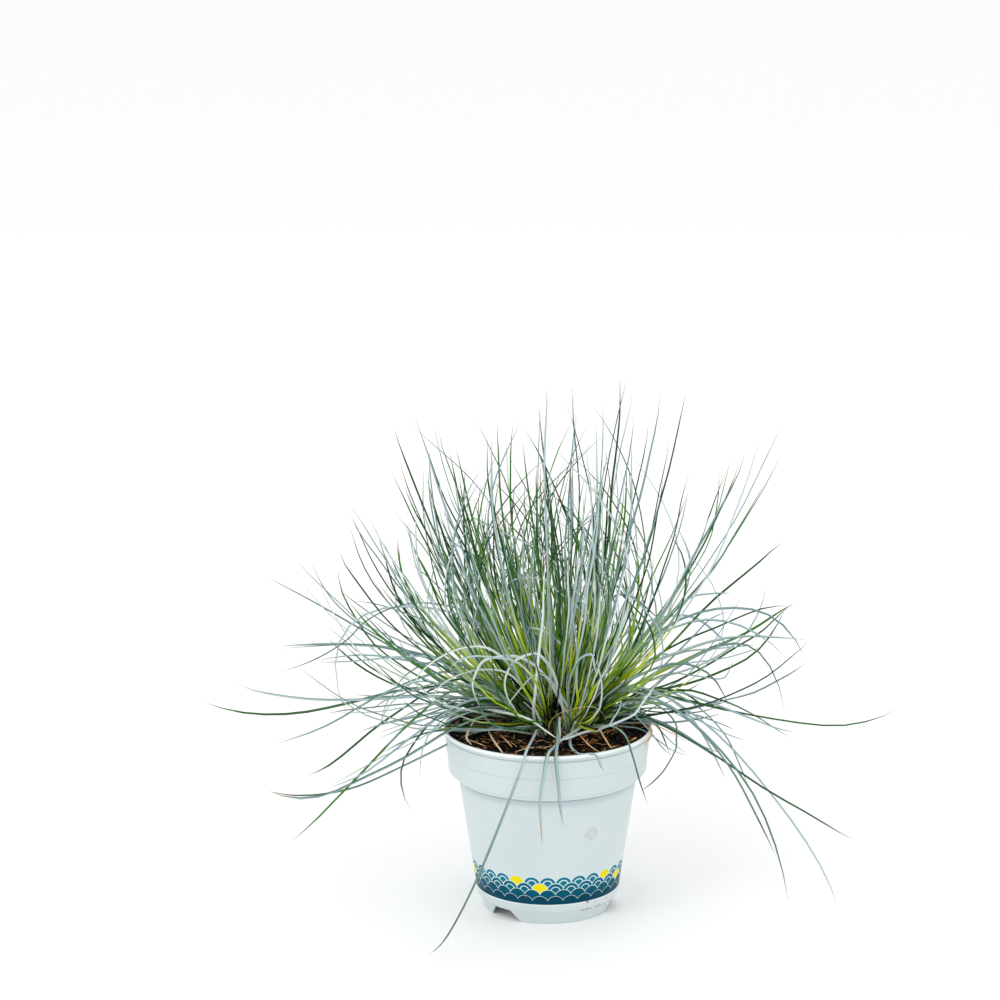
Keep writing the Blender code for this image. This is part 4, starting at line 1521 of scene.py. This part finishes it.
# %% Low leaves on the left
LOW_LEFT = [
    # Width and places in millimetres
    (1.6, (-8, 9, 105), (-47, -2, 122), (-62, -6, 120), (-79, -11, 116), (-94, -15, 113),
     (-108, -19, 109)),
    (1.5, (-14, 13, 106), (-48, 12, 115), (-77, 11, 117), (-95, 10, 116), (-113, 10, 114),
     (-128, 9, 112)),
    (1.5, (-12, 5, 108), (-34, -3, 128), (-56, -9, 136), (-79, -18, 133), (-90, -22, 126),
     (-97, -24, 111)),
    (1.9, (-6, -8, 104), (-21, -10, 107), (-33, -11, 108), (-47, -13, 109), (-58, -14, 109),
     (-70, -15, 107), (-82, -17, 103), (-96, -18, 96)),
    (1.9, (-8, 1, 106), (-19, -1, 116), (-28, -3, 119), (-38, -5, 119), (-55, -8, 117), (-67, -10, 115),
     (-82, -12, 110), (-99, -15, 103)),
    (1.5, (0, 12, 108), (-39, 4, 129), (-64, 4, 146), (-78, 3, 148), (-95, 2, 147), (-115, 2, 145),
     (-134, 1, 145)),
    (1.4, (0, 12, 108), (-39, 11, 125), (-61, 13, 141), (-75, 14, 145), (-95, 17, 149), (-111, 18, 151),
     (-133, 21, 149), (-155, 23, 147)),
    (1.5, (0, 14, 108), (-45, 23, 128), (-68, 30, 141), (-89, 37, 149), (-109, 43, 157), (-120, 47, 166),
     (-135, 52, 179), (-148, 56, 192)),
    (1.4, (0, 12, 108), (-45, 21, 127), (-68, 27, 139), (-89, 33, 146), (-105, 38, 154), (-118, 42, 163),
     (-129, 45, 175), (-139, 48, 194)),
    (1.4, (0, 10, 108), (-39, 12, 140), (-53, 14, 155), (-64, 16, 162), (-78, 18, 168), (-98, 21, 174),
     (-114, 23, 176)),
    (1.5, (0, 8, 108), (-24, 2, 146), (-39, 1, 164), (-48, 0, 175), (-57, -1, 179), (-74, -2, 181),
     (-90, -4, 178), (-104, -6, 171), (-114, -7, 161), (-126, -8, 153), (-139, -9, 147),
     (-155, -11, 142)),
    (1.5, (-6, 2, 105), (-22, -1, 114), (-37, -5, 119), (-54, -9, 119), (-74, -14, 117), (-94, -19, 114),
     (-108, -22, 110)),
    (1.5, (-6, 2, 105), (-21, -3, 116), (-39, -9, 120), (-56, -14, 120), (-64, -17, 118), (-80, -22, 115),
     (-98, -28, 111)),
    (1.4, (-6, 0, 106), (-27, -10, 122), (-44, -18, 121), (-58, -25, 117), (-73, -33, 109),
     (-93, -42, 102), (-109, -50, 95), (-124, -57, 88)),
    (1.3, (-6, 4, 108), (-44, -3, 130), (-62, -6, 134), (-74, -8, 136), (-84, -10, 132), (-91, -11, 126),
     (-96, -12, 113)),
    (2.1, (4, 6, 104), (-8, 2, 106), (-16, -1, 109), (-30, -5, 108), (-47, -10, 104), (-67, -16, 96),
     (-87, -23, 88), (-108, -29, 80), (-126, -34, 77), (-144, -40, 78), (-158, -44, 82)),
    (1.7, (0, 6, 106), (-10, 4, 114), (-27, 2, 119), (-42, 1, 121), (-56, -1, 119), (-68, -2, 115),
     (-82, -3, 110)),
    (1.7, (0, 6, 106), (-10, 3, 112), (-24, 1, 118), (-39, -2, 119), (-53, -4, 116), (-65, -6, 112),
     (-76, -8, 107)),
    (1.6, (0, 4, 105), (-11, 2, 110), (-24, -2, 116), (-39, -5, 118), (-53, -9, 114), (-62, -11, 109),
     (-70, -13, 104)),
    (1.6, (0, 6, 108), (-13, 5, 115), (-30, 5, 121), (-48, 4, 123), (-62, 4, 120), (-76, 3, 115),
     (-88, 3, 109)),
    (1.3, (-4, 6, 108), (-33, 6, 127), (-53, 6, 129), (-74, 6, 127), (-91, 6, 122), (-103, 6, 114)),
    (1.4, (-4, 7, 108), (-33, 7, 124), (-56, 8, 125), (-77, 9, 123), (-94, 9, 122), (-113, 10, 123)),
    (1.3, (-2, 5, 110), (-39, 3, 139), (-56, 2, 145), (-70, 1, 144), (-82, 0, 137), (-89, -1, 127)),
    (1.4, (-4, 6, 108), (-39, 6, 121), (-56, 6, 121), (-79, 6, 117), (-97, 6, 114), (-126, 6, 113)),
]
print("low leaves on the left:", len(LOW_LEFT))

# %% [markdown]
# On the right the clump is more open. Here leaves arch one over the other, and some hang past the rim.

# %% Arches on the right
RIGHT = [
    # Width and places in millimetres
    (1.3, (32, 15, 112), (65, 16, 132), (84, 17, 132), (100, 17, 130), (105, 17, 134), (108, 17, 142)),
    (1.3, (32, 18, 112), (60, 21, 141), (74, 23, 143), (84, 25, 145), (108, 28, 146), (123, 30, 147)),
    (1.4, (34, 13, 116), (65, 12, 137), (80, 11, 141), (105, 11, 145), (125, 10, 152)),
    (1.6, (38, 27, 108), (54, 33, 119), (72, 40, 135), (85, 45, 147), (96, 50, 157), (107, 54, 161)),
    (1.3, (30, 19, 112), (60, 25, 154), (80, 29, 174), (95, 33, 177), (108, 35, 177)),
    (1.2, (40, 30, 106), (78, 48, 120), (93, 55, 134), (105, 61, 151), (115, 66, 167)),
    (1.7, (20, 15, 106), (31, 18, 153), (36, 19, 175), (42, 20, 180), (50, 21, 178), (58, 23, 171),
     (67, 24, 162)),
    (1.4, (32, 6, 106), (42, 5, 113), (49, 4, 115), (60, 2, 109), (71, -1, 98), (82, -3, 90)),
    (1.5, (34, 4, 108), (45, 3, 117), (53, 0, 116), (63, -4, 109), (71, -10, 92)),
    (1.4, (34, 9, 108), (59, 7, 118), (77, 4, 114), (100, 1, 103), (115, -1, 98)),
    (1.5, (34, 2, 112), (59, -9, 129), (76, -16, 123), (87, -21, 111), (94, -24, 99), (102, -28, 83)),
    (1.4, (34, 4, 112), (59, -5, 130), (82, -13, 125), (100, -19, 109), (109, -23, 92), (115, -25, 78)),
    (1.5, (34, 8, 108), (68, 3, 126), (88, 0, 123), (114, -5, 114), (131, -8, 108), (142, -10, 106)),
    (1.5, (34, -2, 112), (61, -17, 126), (81, -28, 118), (102, -40, 96), (117, -49, 71), (129, -56, 47)),
    (1.3, (30, 12, 106), (54, 11, 114), (77, 9, 113), (97, 8, 107), (109, 7, 102)),
    (1.2, (28, 16, 106), (54, 17, 117), (67, 18, 123), (81, 19, 128)),
    (1.2, (30, 17, 106), (60, 19, 117), (73, 21, 120), (82, 22, 122), (89, 23, 126)),
    (1.3, (30, 12, 108), (56, 9, 126), (77, 7, 125), (91, 5, 118), (104, 4, 120)),
    (1.4, (24, 4, 106), (30, 2, 118), (41, 1, 124), (53, 0, 129), (65, -1, 127), (76, -2, 123),
     (91, -4, 120), (105, -5, 117)),
    (1.5, (24, 4, 106), (33, 0, 115), (43, -3, 121), (53, -5, 123), (65, -8, 123), (73, -10, 118),
     (82, -12, 113), (91, -15, 105)),
    (1.3, (22, 5, 106), (30, 3, 112), (37, 3, 114), (48, 3, 117), (59, 2, 115), (74, 2, 114),
     (88, 1, 115), (101, 1, 119)),
    (1.6, (20, 4, 104), (28, 2, 106), (36, 0, 108), (43, -1, 109), (61, -4, 110), (75, -6, 111),
     (88, -9, 114), (101, -11, 118)),
    (1.9, (20, 4, 105), (30, 1, 109), (48, -2, 112), (64, -4, 109), (75, -6, 104), (88, -9, 97),
     (98, -10, 90)),
    (1.6, (20, 4, 105), (30, 2, 111), (48, 0, 114), (63, -3, 111), (76, -4, 105), (89, -6, 97),
     (100, -8, 93)),
    (1.4, (22, 2, 105), (30, -1, 108), (44, -5, 108), (53, -8, 107.5), (62, -11, 103), (71, -14, 97),
     (81, -17, 94)),
    (1.6, (28, 0, 106), (36, -3, 114), (41, -5, 119), (45, -7, 120), (51, -9, 115), (58, -11, 108),
     (66, -14, 98), (71, -16, 94)),
]
print("arches on the right:", len(RIGHT))

# %% [markdown]
# A few leaves lie forward over the bare soil. Some ends meet there, and others bend over the front rim
# and hang down the wall. They are seen from near, so each has its own tone and kind too.

# %% Leaves over the front rim
FRONT = [
    # Width in millimetres, tone, kind and places
    (1.75, 0.8, AGED, (-3, 2, 104), (-5, -8, 111), (-6, -20, 111), (-9, -34, 109), (-12, -58, 110),
     (-15, -64, 101), (-23, -70, 81), (-36, -80, 51), (-48, -88, 27), (-58, -94, 11), (-66, -97, 4)),
    (2.1, 0.64, DRY_TIP, (23, -2, 104), (20, -14, 111), (14, -26, 111), (7, -38, 110), (4, -50, 110),
     (1, -59, 110), (-1, -64, 104), (-2, -65, 98), (-4, -66, 86), (-4, -66, 74), (-3, -67, 57)),
    (2.2, 0.52, PLAIN, (7, 0, 104), (5, -6, 113), (6, -14, 111), (6, -36, 111), (5, -58, 110),
     (5, -63, 105), (6, -64, 94), (7, -65, 80), (9, -66, 68)),
    (1.7, 0.95, PLAIN, (8, 2, 104), (7, -6, 114), (7, -20, 111), (7, -37, 110)),
    (1.6, 0.55, AGED, (22, 3, 104), (28, -2, 108), (36, -20, 113), (41, -34, 115), (45, -40, 112),
     (48, -58, 107), (52, -62, 93), (56, -64, 81)),
    (2.2, 0.97, PLAIN, (-48, -6, 122), (-39, -8, 121), (-23, -14, 119), (-11, -18, 117), (-2, -26, 113),
     (7, -38, 110)),
    (1.9, 0.95, PLAIN, (31, -10, 104), (26, -16, 109), (21, -21, 110), (14, -30, 110), (7, -38, 110)),
    (1.8, 0.7, PLAIN, (17, -2, 104), (16, -8, 112), (14, -15, 109), (13, -35, 107), (18, -50, 106),
     (27, -57, 108), (30, -66, 104), (32, -66, 101)),
    (1.8, 0.75, AGED, (-3, -6, 104), (-8, -14, 111), (-27, -14, 109.5), (-44, -16, 109),
     (-59, -16, 109.5), (-67, -12, 109)),
    (1.7, 0.35, AGED, (24, 2, 106), (33, -1, 119), (45, -4, 125), (59, -8, 124), (69, -11, 118),
     (74, -13, 111), (74, -13, 104), (74, -12, 98), (71, -12, 91), (66, -10, 82), (59, -8, 74),
     (53, -6, 69)),
]
print("leaves over the front:", len(FRONT))

# %% [markdown]
# These leaves are rolled so that they show their waxy outside, to the left or right as they lie, and
# hardly waver. The front ones lie with the keel up.

# %% Draw the leaves with a way of their own
WAY_GROUPS = [
    # Places, share of the given width, range of tones and share of old green leaves
    (LOOPS, 1.12, (0.85, 1.0), 0), (LOW_LEFT, 0.82, (0.25, 0.85), 0.15), (RIGHT, 0.92, (0.1, 0.65), 0.35),
]
NOT_DRY_BELOW = 0.85
SIDE_ROLL = 1.3

ways_rng = random.Random(11)
ways = StripMesh()
for group, share, tones, aged in WAY_GROUPS:
    for width, *points in group:
        chance = ways_rng.random()
        kind = AGED if chance < aged else DRY_TIP if chance > NOT_DRY_BELOW else PLAIN
        goes_left = points[-1][0] < points[0][0]
        roll = (-SIDE_ROLL if goes_left else SIDE_ROLL) + ways_rng.gauss(0, 0.3)
        twist = ways_rng.gauss(0, 0.3)
        tone = ways_rng.uniform(*tones)
        places = smooth_places(points)
        add_leaf(ways, places, width * share * MM, roll, twist, tone, kind, ways_rng, wander=0.3)
for width, tone, kind, *points in FRONT:
    roll = math.pi + ways_rng.gauss(0, 0.2)
    add_leaf(ways, smooth_places(points), width * MM, roll, 0.2, tone, kind, ways_rng, wander=0.2)
leaf_piles["ways"] = ways
print("leaf faces with ways of their own:", len(ways.faces))

# %% [markdown]
# The leaf material reads the four numbers on each point: how far along the leaf it is, the leaf's own
# tone, how far inside the fold, and its kind. Places along it are shares of its length, 0 at the foot
# and 1 at the tip, and a Map Range node fades a finish in or out between two of them. The wax bloom on
# the outside is matt and pale, so the leaf looks blue-grey. A leaf of a high tone has the most wax, and
# at its foot there is less.

# %% Wax bloom of the leaves
PATCH_SIZE = 16.7 * MM
BLOOM = [
    (0.0, "#5a7e80"), (0.3, "#88a4aa"), (0.6, "#a9c0c8"),
    (0.8, "#cad7e0"), (0.92, "#dfe9ef"), (1.0, "#f3f8fa"),
]
FOOT_GREEN = "#9abd48"

leaf_look, node, shader = new_material("waxy_fescue_leaf")
traits = node("Attribute", attribute_name="traits")
along, tone, fold = node("SeparateColor", [traits]).outputs
kind = traits.outputs["Alpha"]
young, fresh, aged, dry_tip = [
    node("Math", [kind, mark, 0.05], operation="COMPARE") for mark in (YOUNG, FRESH, AGED, DRY_TIP)
]
place = node("TexCoord").outputs["Object"]
patches = node("TexNoise", {"Vector": place, "Scale": 1 / PATCH_SIZE, "Detail": 3.0})
near_foot = node("MapRange", [along, 0.42, 0.06])
little_wax = node("Math", [1.15, tone], operation="SUBTRACT")
waxless = node("Math", [near_foot, little_wax], operation="MULTIPLY", use_clamp=True)
waxless = node("Math", [waxless, 0.9], operation="MULTIPLY")
bloom = node("ValToRGB", [tone], stops=BLOOM)
bloom = node("Mix", [waxless, bloom, linear(FOOT_GREEN)], data_type="RGBA")
print("patches of wax:", round(PATCH_SIZE / MM, 1), "mm")

# %% [markdown]
# Under the wax, a leaf is green. Fresh and young leaves turn lime towards the foot, where they have
# just grown, and old ones turn a deep green.

# %% Greens of the leaves
LIMES = [(0.08, "#447f06"), (0.30, "#86b808"), (0.5, "#bfdc0c"), (0.8, "#dae838")]
LIVELY_TONES = [(0.04, "#000000"), (0.10, "#ffffff"), (0.80, "#ffffff"), (0.88, "#303030")]
GREENS = [(0.0, "#1c4322"), (0.35, "#2b5e26"), (0.7, "#437d2e"), (1.0, "#70a548")]
DEEP_GREEN = "#2a4a26"

lime = node("ValToRGB", [tone], stops=LIMES)
growing = node("Math", [young, fresh], operation="ADD")
lively = node("Math", [growing, node("ValToRGB", [tone], stops=LIVELY_TONES)], operation="MULTIPLY")
green = node("ValToRGB", [tone], stops=GREENS)
darkened = node("Math", [aged, 0.6], operation="MULTIPLY")
green = node("Mix", [darkened, green, linear(DEEP_GREEN)], data_type="RGBA")
lime_edge = node("Math", [lively, node("MapRange", [along, 0.70, 0.32, 0, 0.9])], operation="MULTIPLY")
green = node("Mix", [lime_edge, green, lime], data_type="RGBA")
print("greens:", len(GREENS), "and limes:", len(LIMES))

# %% [markdown]
# Where the wax is rubbed off, the green shows: in the groove, towards the tip, in patches, and all over
# a leaf of a low tone. Each of these adds its weight to one sum, which mixes the two colours.

# %% Where the green shows
OLD_LEAF = [(0.40, "#8ba8a4"), (0.6, "#6f9088"), (0.8, "#527662"), (1.0, "#35562e")]

groove = node("MapRange", [fold, 0.5, 0.5 + 1 / 6])
dull = node("MapRange", [tone, 0.24, 0.04])
bare = 0.52
for cause, weight in ((patches, -1.1), (along, 0.50), (tone, -0.45), (dull, 1.0), (groove, 0.74)):
    bare = node("Math", [cause, weight, bare], operation="MULTIPLY_ADD")
bare = node("Math", [bare, 2.2, -0.6], operation="MULTIPLY_ADD", use_clamp=True)
aging = node("Math", [aged, node("MapRange", [along, 0.34, 0.34 + 1 / 3, 0, 0.9])], operation="MULTIPLY")
bloom = node("Mix", [aging, bloom, node("ValToRGB", [along], stops=OLD_LEAF)], data_type="RGBA")
colour = node("Mix", [bare, bloom, green], data_type="RGBA")
print("causes of bare green: patches, place along the leaf, tone, dull leaves and groove")

# %% [markdown]
# Young leaves are lime all round at the foot. About two leaves in five have painted shade there instead,
# almost black, for the dark inside of the crown. Old tips and dead leaves are dry and straw coloured.

# %% Foot, painted shade and dry tips
PAINTED_SHADE = "#050a03"
STRAW_COLOURS = [(0.0, "#7d5a34"), (0.5, "#c9a06a"), (1.0, "#b98a50")]

shown = node("Math", [lively, 1.8], operation="MULTIPLY")
shown = node("Math", [young, 0.9, shown], operation="MULTIPLY_ADD")
foot = node("MapRange", [along, 0.48, 0.20])
lime_foot = node("Math", [foot, shown], operation="MULTIPLY", use_clamp=True)
colour = node("Mix", [lime_foot, colour, lime], data_type="RGBA")
# Painted shade: two leaves in five turn almost black towards the foot
second_tone = node("Math", [node("Math", [tone, 13.7], operation="MULTIPLY")], operation="FRACT")
shaded = node("MapRange", [second_tone, 0.42, 0.42 - 1 / 9])
painted_foot_shade = node("Math", [shaded, node("MapRange", [along, 0.36, 0.16, 0, 0.96])], operation="MULTIPLY")
colour = node("Mix", [painted_foot_shade, colour, linear(PAINTED_SHADE)], data_type="RGBA")
tip = node("Math", [dry_tip, node("MapRange", [along, 0.90, 0.95])], operation="MULTIPLY")
dead = node("Math", [kind, 0.9], operation="GREATER_THAN")
dry = node("Math", [tip, dead], operation="MAXIMUM")
colour = node("Mix", [dry, colour, node("ValToRGB", [along], stops=STRAW_COLOURS)], data_type="RGBA")
wire(shader, {"Base Color": colour, "Roughness": 0.5, "IOR": 1.42, "Specular IOR Level": 0.25})
print("leaf material nodes:", len(leaf_look.node_tree.nodes))

# %% [markdown]
# Each tuft's leaves become one object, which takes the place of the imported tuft.

# %% Build the leaves
total = 0
for name, grass in leaf_piles.items():
    piece = grass.build("leaves_" + name, leaf_look)
    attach(piece, "root")
    if name.startswith("tuft"):
        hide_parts(name)
    total += len(piece.data.polygons)
print("leaf faces:", total)

# %% [markdown]
# Each shoot stands in a sheath, the tube that its oldest leaves make round it. Sheaths are thicker than
# the leaves and part at the top, so each is a six-sided tube that leans out and narrows to a tip.

# %% Sheaths at the crown
SHEATHS = 7
SHEATH_SIDES = 6
SHEATH_STEPS = 5
SHEATH_DEPTH = Vector((0, 0, 2.5 * MM))
SHEATH_LEAN = 14 * MM
SHEATH_LENGTHS = (6, 15)
SHEATH_WIDTHS = (1.6, 2.5)
NARROWING = 0.45
BEND_OUT = 1.6 * MM
TIP_BEND_OUT = 2.2 * MM
TIP_SHARE = 1.12

sheath_rng = random.Random(17)
sheaths = StripMesh()
for tuft in all_tufts:
    for _ in range(SHEATHS):
        around = sheath_rng.uniform(0, math.tau)
        offset = heading(around) * (PLUG_RADIUS * (0.35 + 0.65 * math.sqrt(sheath_rng.random())))
        start = tuft.base + offset - SHEATH_DEPTH
        lean = ((tuft.top - tuft.base) / PLUG_HEIGHT + offset / SHEATH_LEAN).normalized()
        length = sheath_rng.uniform(*SHEATH_LENGTHS) * MM
        width = sheath_rng.uniform(*SHEATH_WIDTHS) * MM
        tone = sheath_rng.random()
        rings = []
        traits = []
        for step in range(SHEATH_STEPS + 1):
            t = step / SHEATH_STEPS
            middle = start + lean * (length * t) + heading(around) * (BEND_OUT * t * t)
            half = width * (1 - NARROWING * t) / 2
            turns = [math.tau * side / SHEATH_SIDES + tone * 5 for side in reversed(range(SHEATH_SIDES))]
            rings.append([middle + heading(turn) * half for turn in turns])
            traits.append([(t, tone, 0, 0)] * SHEATH_SIDES)
        tip = start + lean * (length * TIP_SHARE) + heading(around) * TIP_BEND_OUT
        sheaths.add(rings, traits, tip, (1, tone, 0, 0))
print("sheaths:", SHEATHS * len(all_tufts))

# %% [markdown]
# A sheath is papery. It is grey-violet at the soil and fades to pale green, and one in twelve or so is
# the brown remains of last year's leaves.

# %% Sheath material
YOUNG_SHEATH = [(0.0, "#453634"), (0.3, "#7c797c"), (0.6, "#84977a"), (1.0, "#8aa850")]
OLD_SHEATH = [(0.0, "#3f2a1c"), (0.5, "#7c5a3c"), (1.0, "#b08a5c")]
OLD_FROM = 0.92

sheath_look, node, shader = new_material("papery_leaf_sheath")
along, tone, _ = node("SeparateColor", [node("Attribute", attribute_name="traits")]).outputs
young = node("ValToRGB", [along], stops=YOUNG_SHEATH)
old = node("ValToRGB", [along], stops=OLD_SHEATH)
is_old = node("Math", [tone, OLD_FROM], operation="GREATER_THAN")
wire(shader, {"Base Color": node("Mix", [is_old, young, old], data_type="RGBA"), "Roughness": 0.6})
sheath_piece = sheaths.build("leaf_sheaths", sheath_look)
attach(sheath_piece, "root")
print("sheath faces:", len(sheath_piece.data.polygons))

# %% [markdown]
# Dead leaves have curled down on the soil. They are flat strips with a slight ridge. The ones that
# catch the eye are drawn where they lie.

# %% Dead leaves that catch the eye
STRAWS = [
    # Width and places in millimetres
    (1.2, (-43, -42, 109), (-46, -29, 109), (-44, -11, 110), (-41, 7, 110), (-37, 24, 107)),
    (1.2, (-34, -3, 105), (-31, -26, 107), (-25, -55, 108)),
    (1.1, (-54, 15, 105), (-48, 19, 105), (-41, 17, 106), (-33, 16, 106), (-26, 14, 105)),
    (1.2, (-36, 27, 107), (-30, 21, 108), (-24, 14, 107)),
    (1.2, (1, -11, 106), (1, -15, 112), (3, -18, 117), (8, -20, 121), (13, -21, 123), (20, -21, 124.7),
     (26, -20, 124.4), (30, -18, 121.4), (34, -15, 116)),
    (1.0, (14, 0, 106), (19, -20, 107), (24, -38, 107), (29, -53, 108)),
    (1.1, (26, 10, 107), (29, -3, 108), (32, -23, 108), (36, -43, 107)),
    (1.2, (52, -2, 106), (58, -10, 109.6), (59.5, -15, 109.4), (59.5, -19, 108), (58, -23, 106),
     (56, -27, 105), (56, -27.5, 102)),
    (1.3, (40, 4, 106), (51, -4, 110), (59, -8, 110.5), (65, -10, 109), (69, -12, 107.5), (74, -14, 105.5),
     (79, -16, 102.5)),
    (1.1, (-49, -17, 105), (-42, -25, 105.5), (-34, -34, 105)),
    (1.0, (-27, -11, 105), (-24, -23, 106), (-20, -34, 105)),
    (1.2, (44, 24, 105), (51, 20, 106), (56, 15, 106)),
]


def add_straw(mesh, places, width, tone):
    """A flat dead leaf with a slight ridge, through places."""
    last = len(places) - 1
    rings = []
    traits = []
    for i, place in enumerate(places):
        t = i / last
        along = (places[min(last, i + 1)] - places[max(0, i - 1)]).normalized()
        side = along.cross(Vector((0, 0, 1))).normalized()
        up = side.cross(along)
        half = width * (1 - abs(2 * t - 1) ** 4 * 0.7) / 2
        ridge = 0.35 * half
        rings.append([place - up * ridge, place - side * half, place + up * ridge, place + side * half])
        traits.append([(t, tone, 0, 0)] * 4)
    mesh.add(rings, traits)


straw_rng = random.Random(23)
straws = StripMesh()
for width, *points in STRAWS:
    add_straw(straws, smooth_places(points, 5), width * MM, straw_rng.uniform(0.55, 1.0))
print("dead leaves that catch the eye:", len(STRAWS))

# %% [markdown]
# The other dead leaves are strewn. Each bends evenly along its length and follows the soil's surface.

# %% Strewn dead leaves
STREWN_STRAWS = 34
STREWN_SHARE = 0.86
STRAW_LENGTHS = (10, 28)
STRAW_WIDTHS = (0.5, 1.1)
STRAW_STEPS = 7
STRAW_LIMIT = 56 * MM
STRAW_LIFT = 0.9 * MM

for _ in range(STREWN_STRAWS):
    place = strewn_place(straw_rng) * STREWN_SHARE
    azimuth = straw_rng.uniform(0, math.tau)
    bend = straw_rng.gauss(0, 0.9)
    length = straw_rng.uniform(*STRAW_LENGTHS) * MM
    places = [place]
    for step in range(STRAW_STEPS):
        place = place + heading(azimuth + bend * step / STRAW_STEPS) * (length / STRAW_STEPS)
        places.append(place)
    if not stays_in_pot(places, STRAW_LIMIT):
        continue
    for place in places:
        place.z = soil_height(place.x, place.y) + STRAW_LIFT
    width = straw_rng.uniform(*STRAW_WIDTHS) * MM
    add_straw(straws, places, width, straw_rng.random())
print("points on dead leaves:", len(straws.points))

# %% [markdown]
# Straw is dry and slightly glossy. It is pale on top and orange-brown in spots where it is damp, which
# are a few millimetres wide.

# %% Straw material
SPOT_SIZE = 6.25 * MM
PALE_STRAW = [(0.0, "#8a5220"), (0.4, "#c98a3e"), (0.7, "#eebf86"), (1.0, "#fbe3c0")]
DAMP_STRAW = [(0.4, "#9a5a22"), (0.7, "#c87a30")]

straw_look, node, shader = new_material("dry_straw")
tone = node("SeparateColor", [node("Attribute", attribute_name="traits")]).outputs["Green"]
place = node("TexCoord").outputs["Object"]
spots = node("TexNoise", {"Vector": place, "Scale": 1 / SPOT_SIZE, "Detail": 3.0})
pale = node("ValToRGB", [tone], stops=PALE_STRAW)
damp = node("ValToRGB", [spots], stops=DAMP_STRAW)
dampness = node("Math", [spots, 2.4, -1.15], operation="MULTIPLY_ADD", use_clamp=True)
wire(shader, {"Base Color": node("Mix", [dampness, pale, damp], data_type="RGBA"), "Roughness": 0.6})
straw_piece = straws.build("dead_leaves", straw_look)
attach(straw_piece, "root")
print("dead leaf faces:", len(straw_piece.data.polygons))

# %% [markdown]
# Last come two boxes, of the imported solids and of the dressed model.

# %% Print the sizes and finish
sizes = {
    "cad": [list(corner) for corner in cad_box],
    "visual": [list(corner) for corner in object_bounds()],
}
print(sizes)
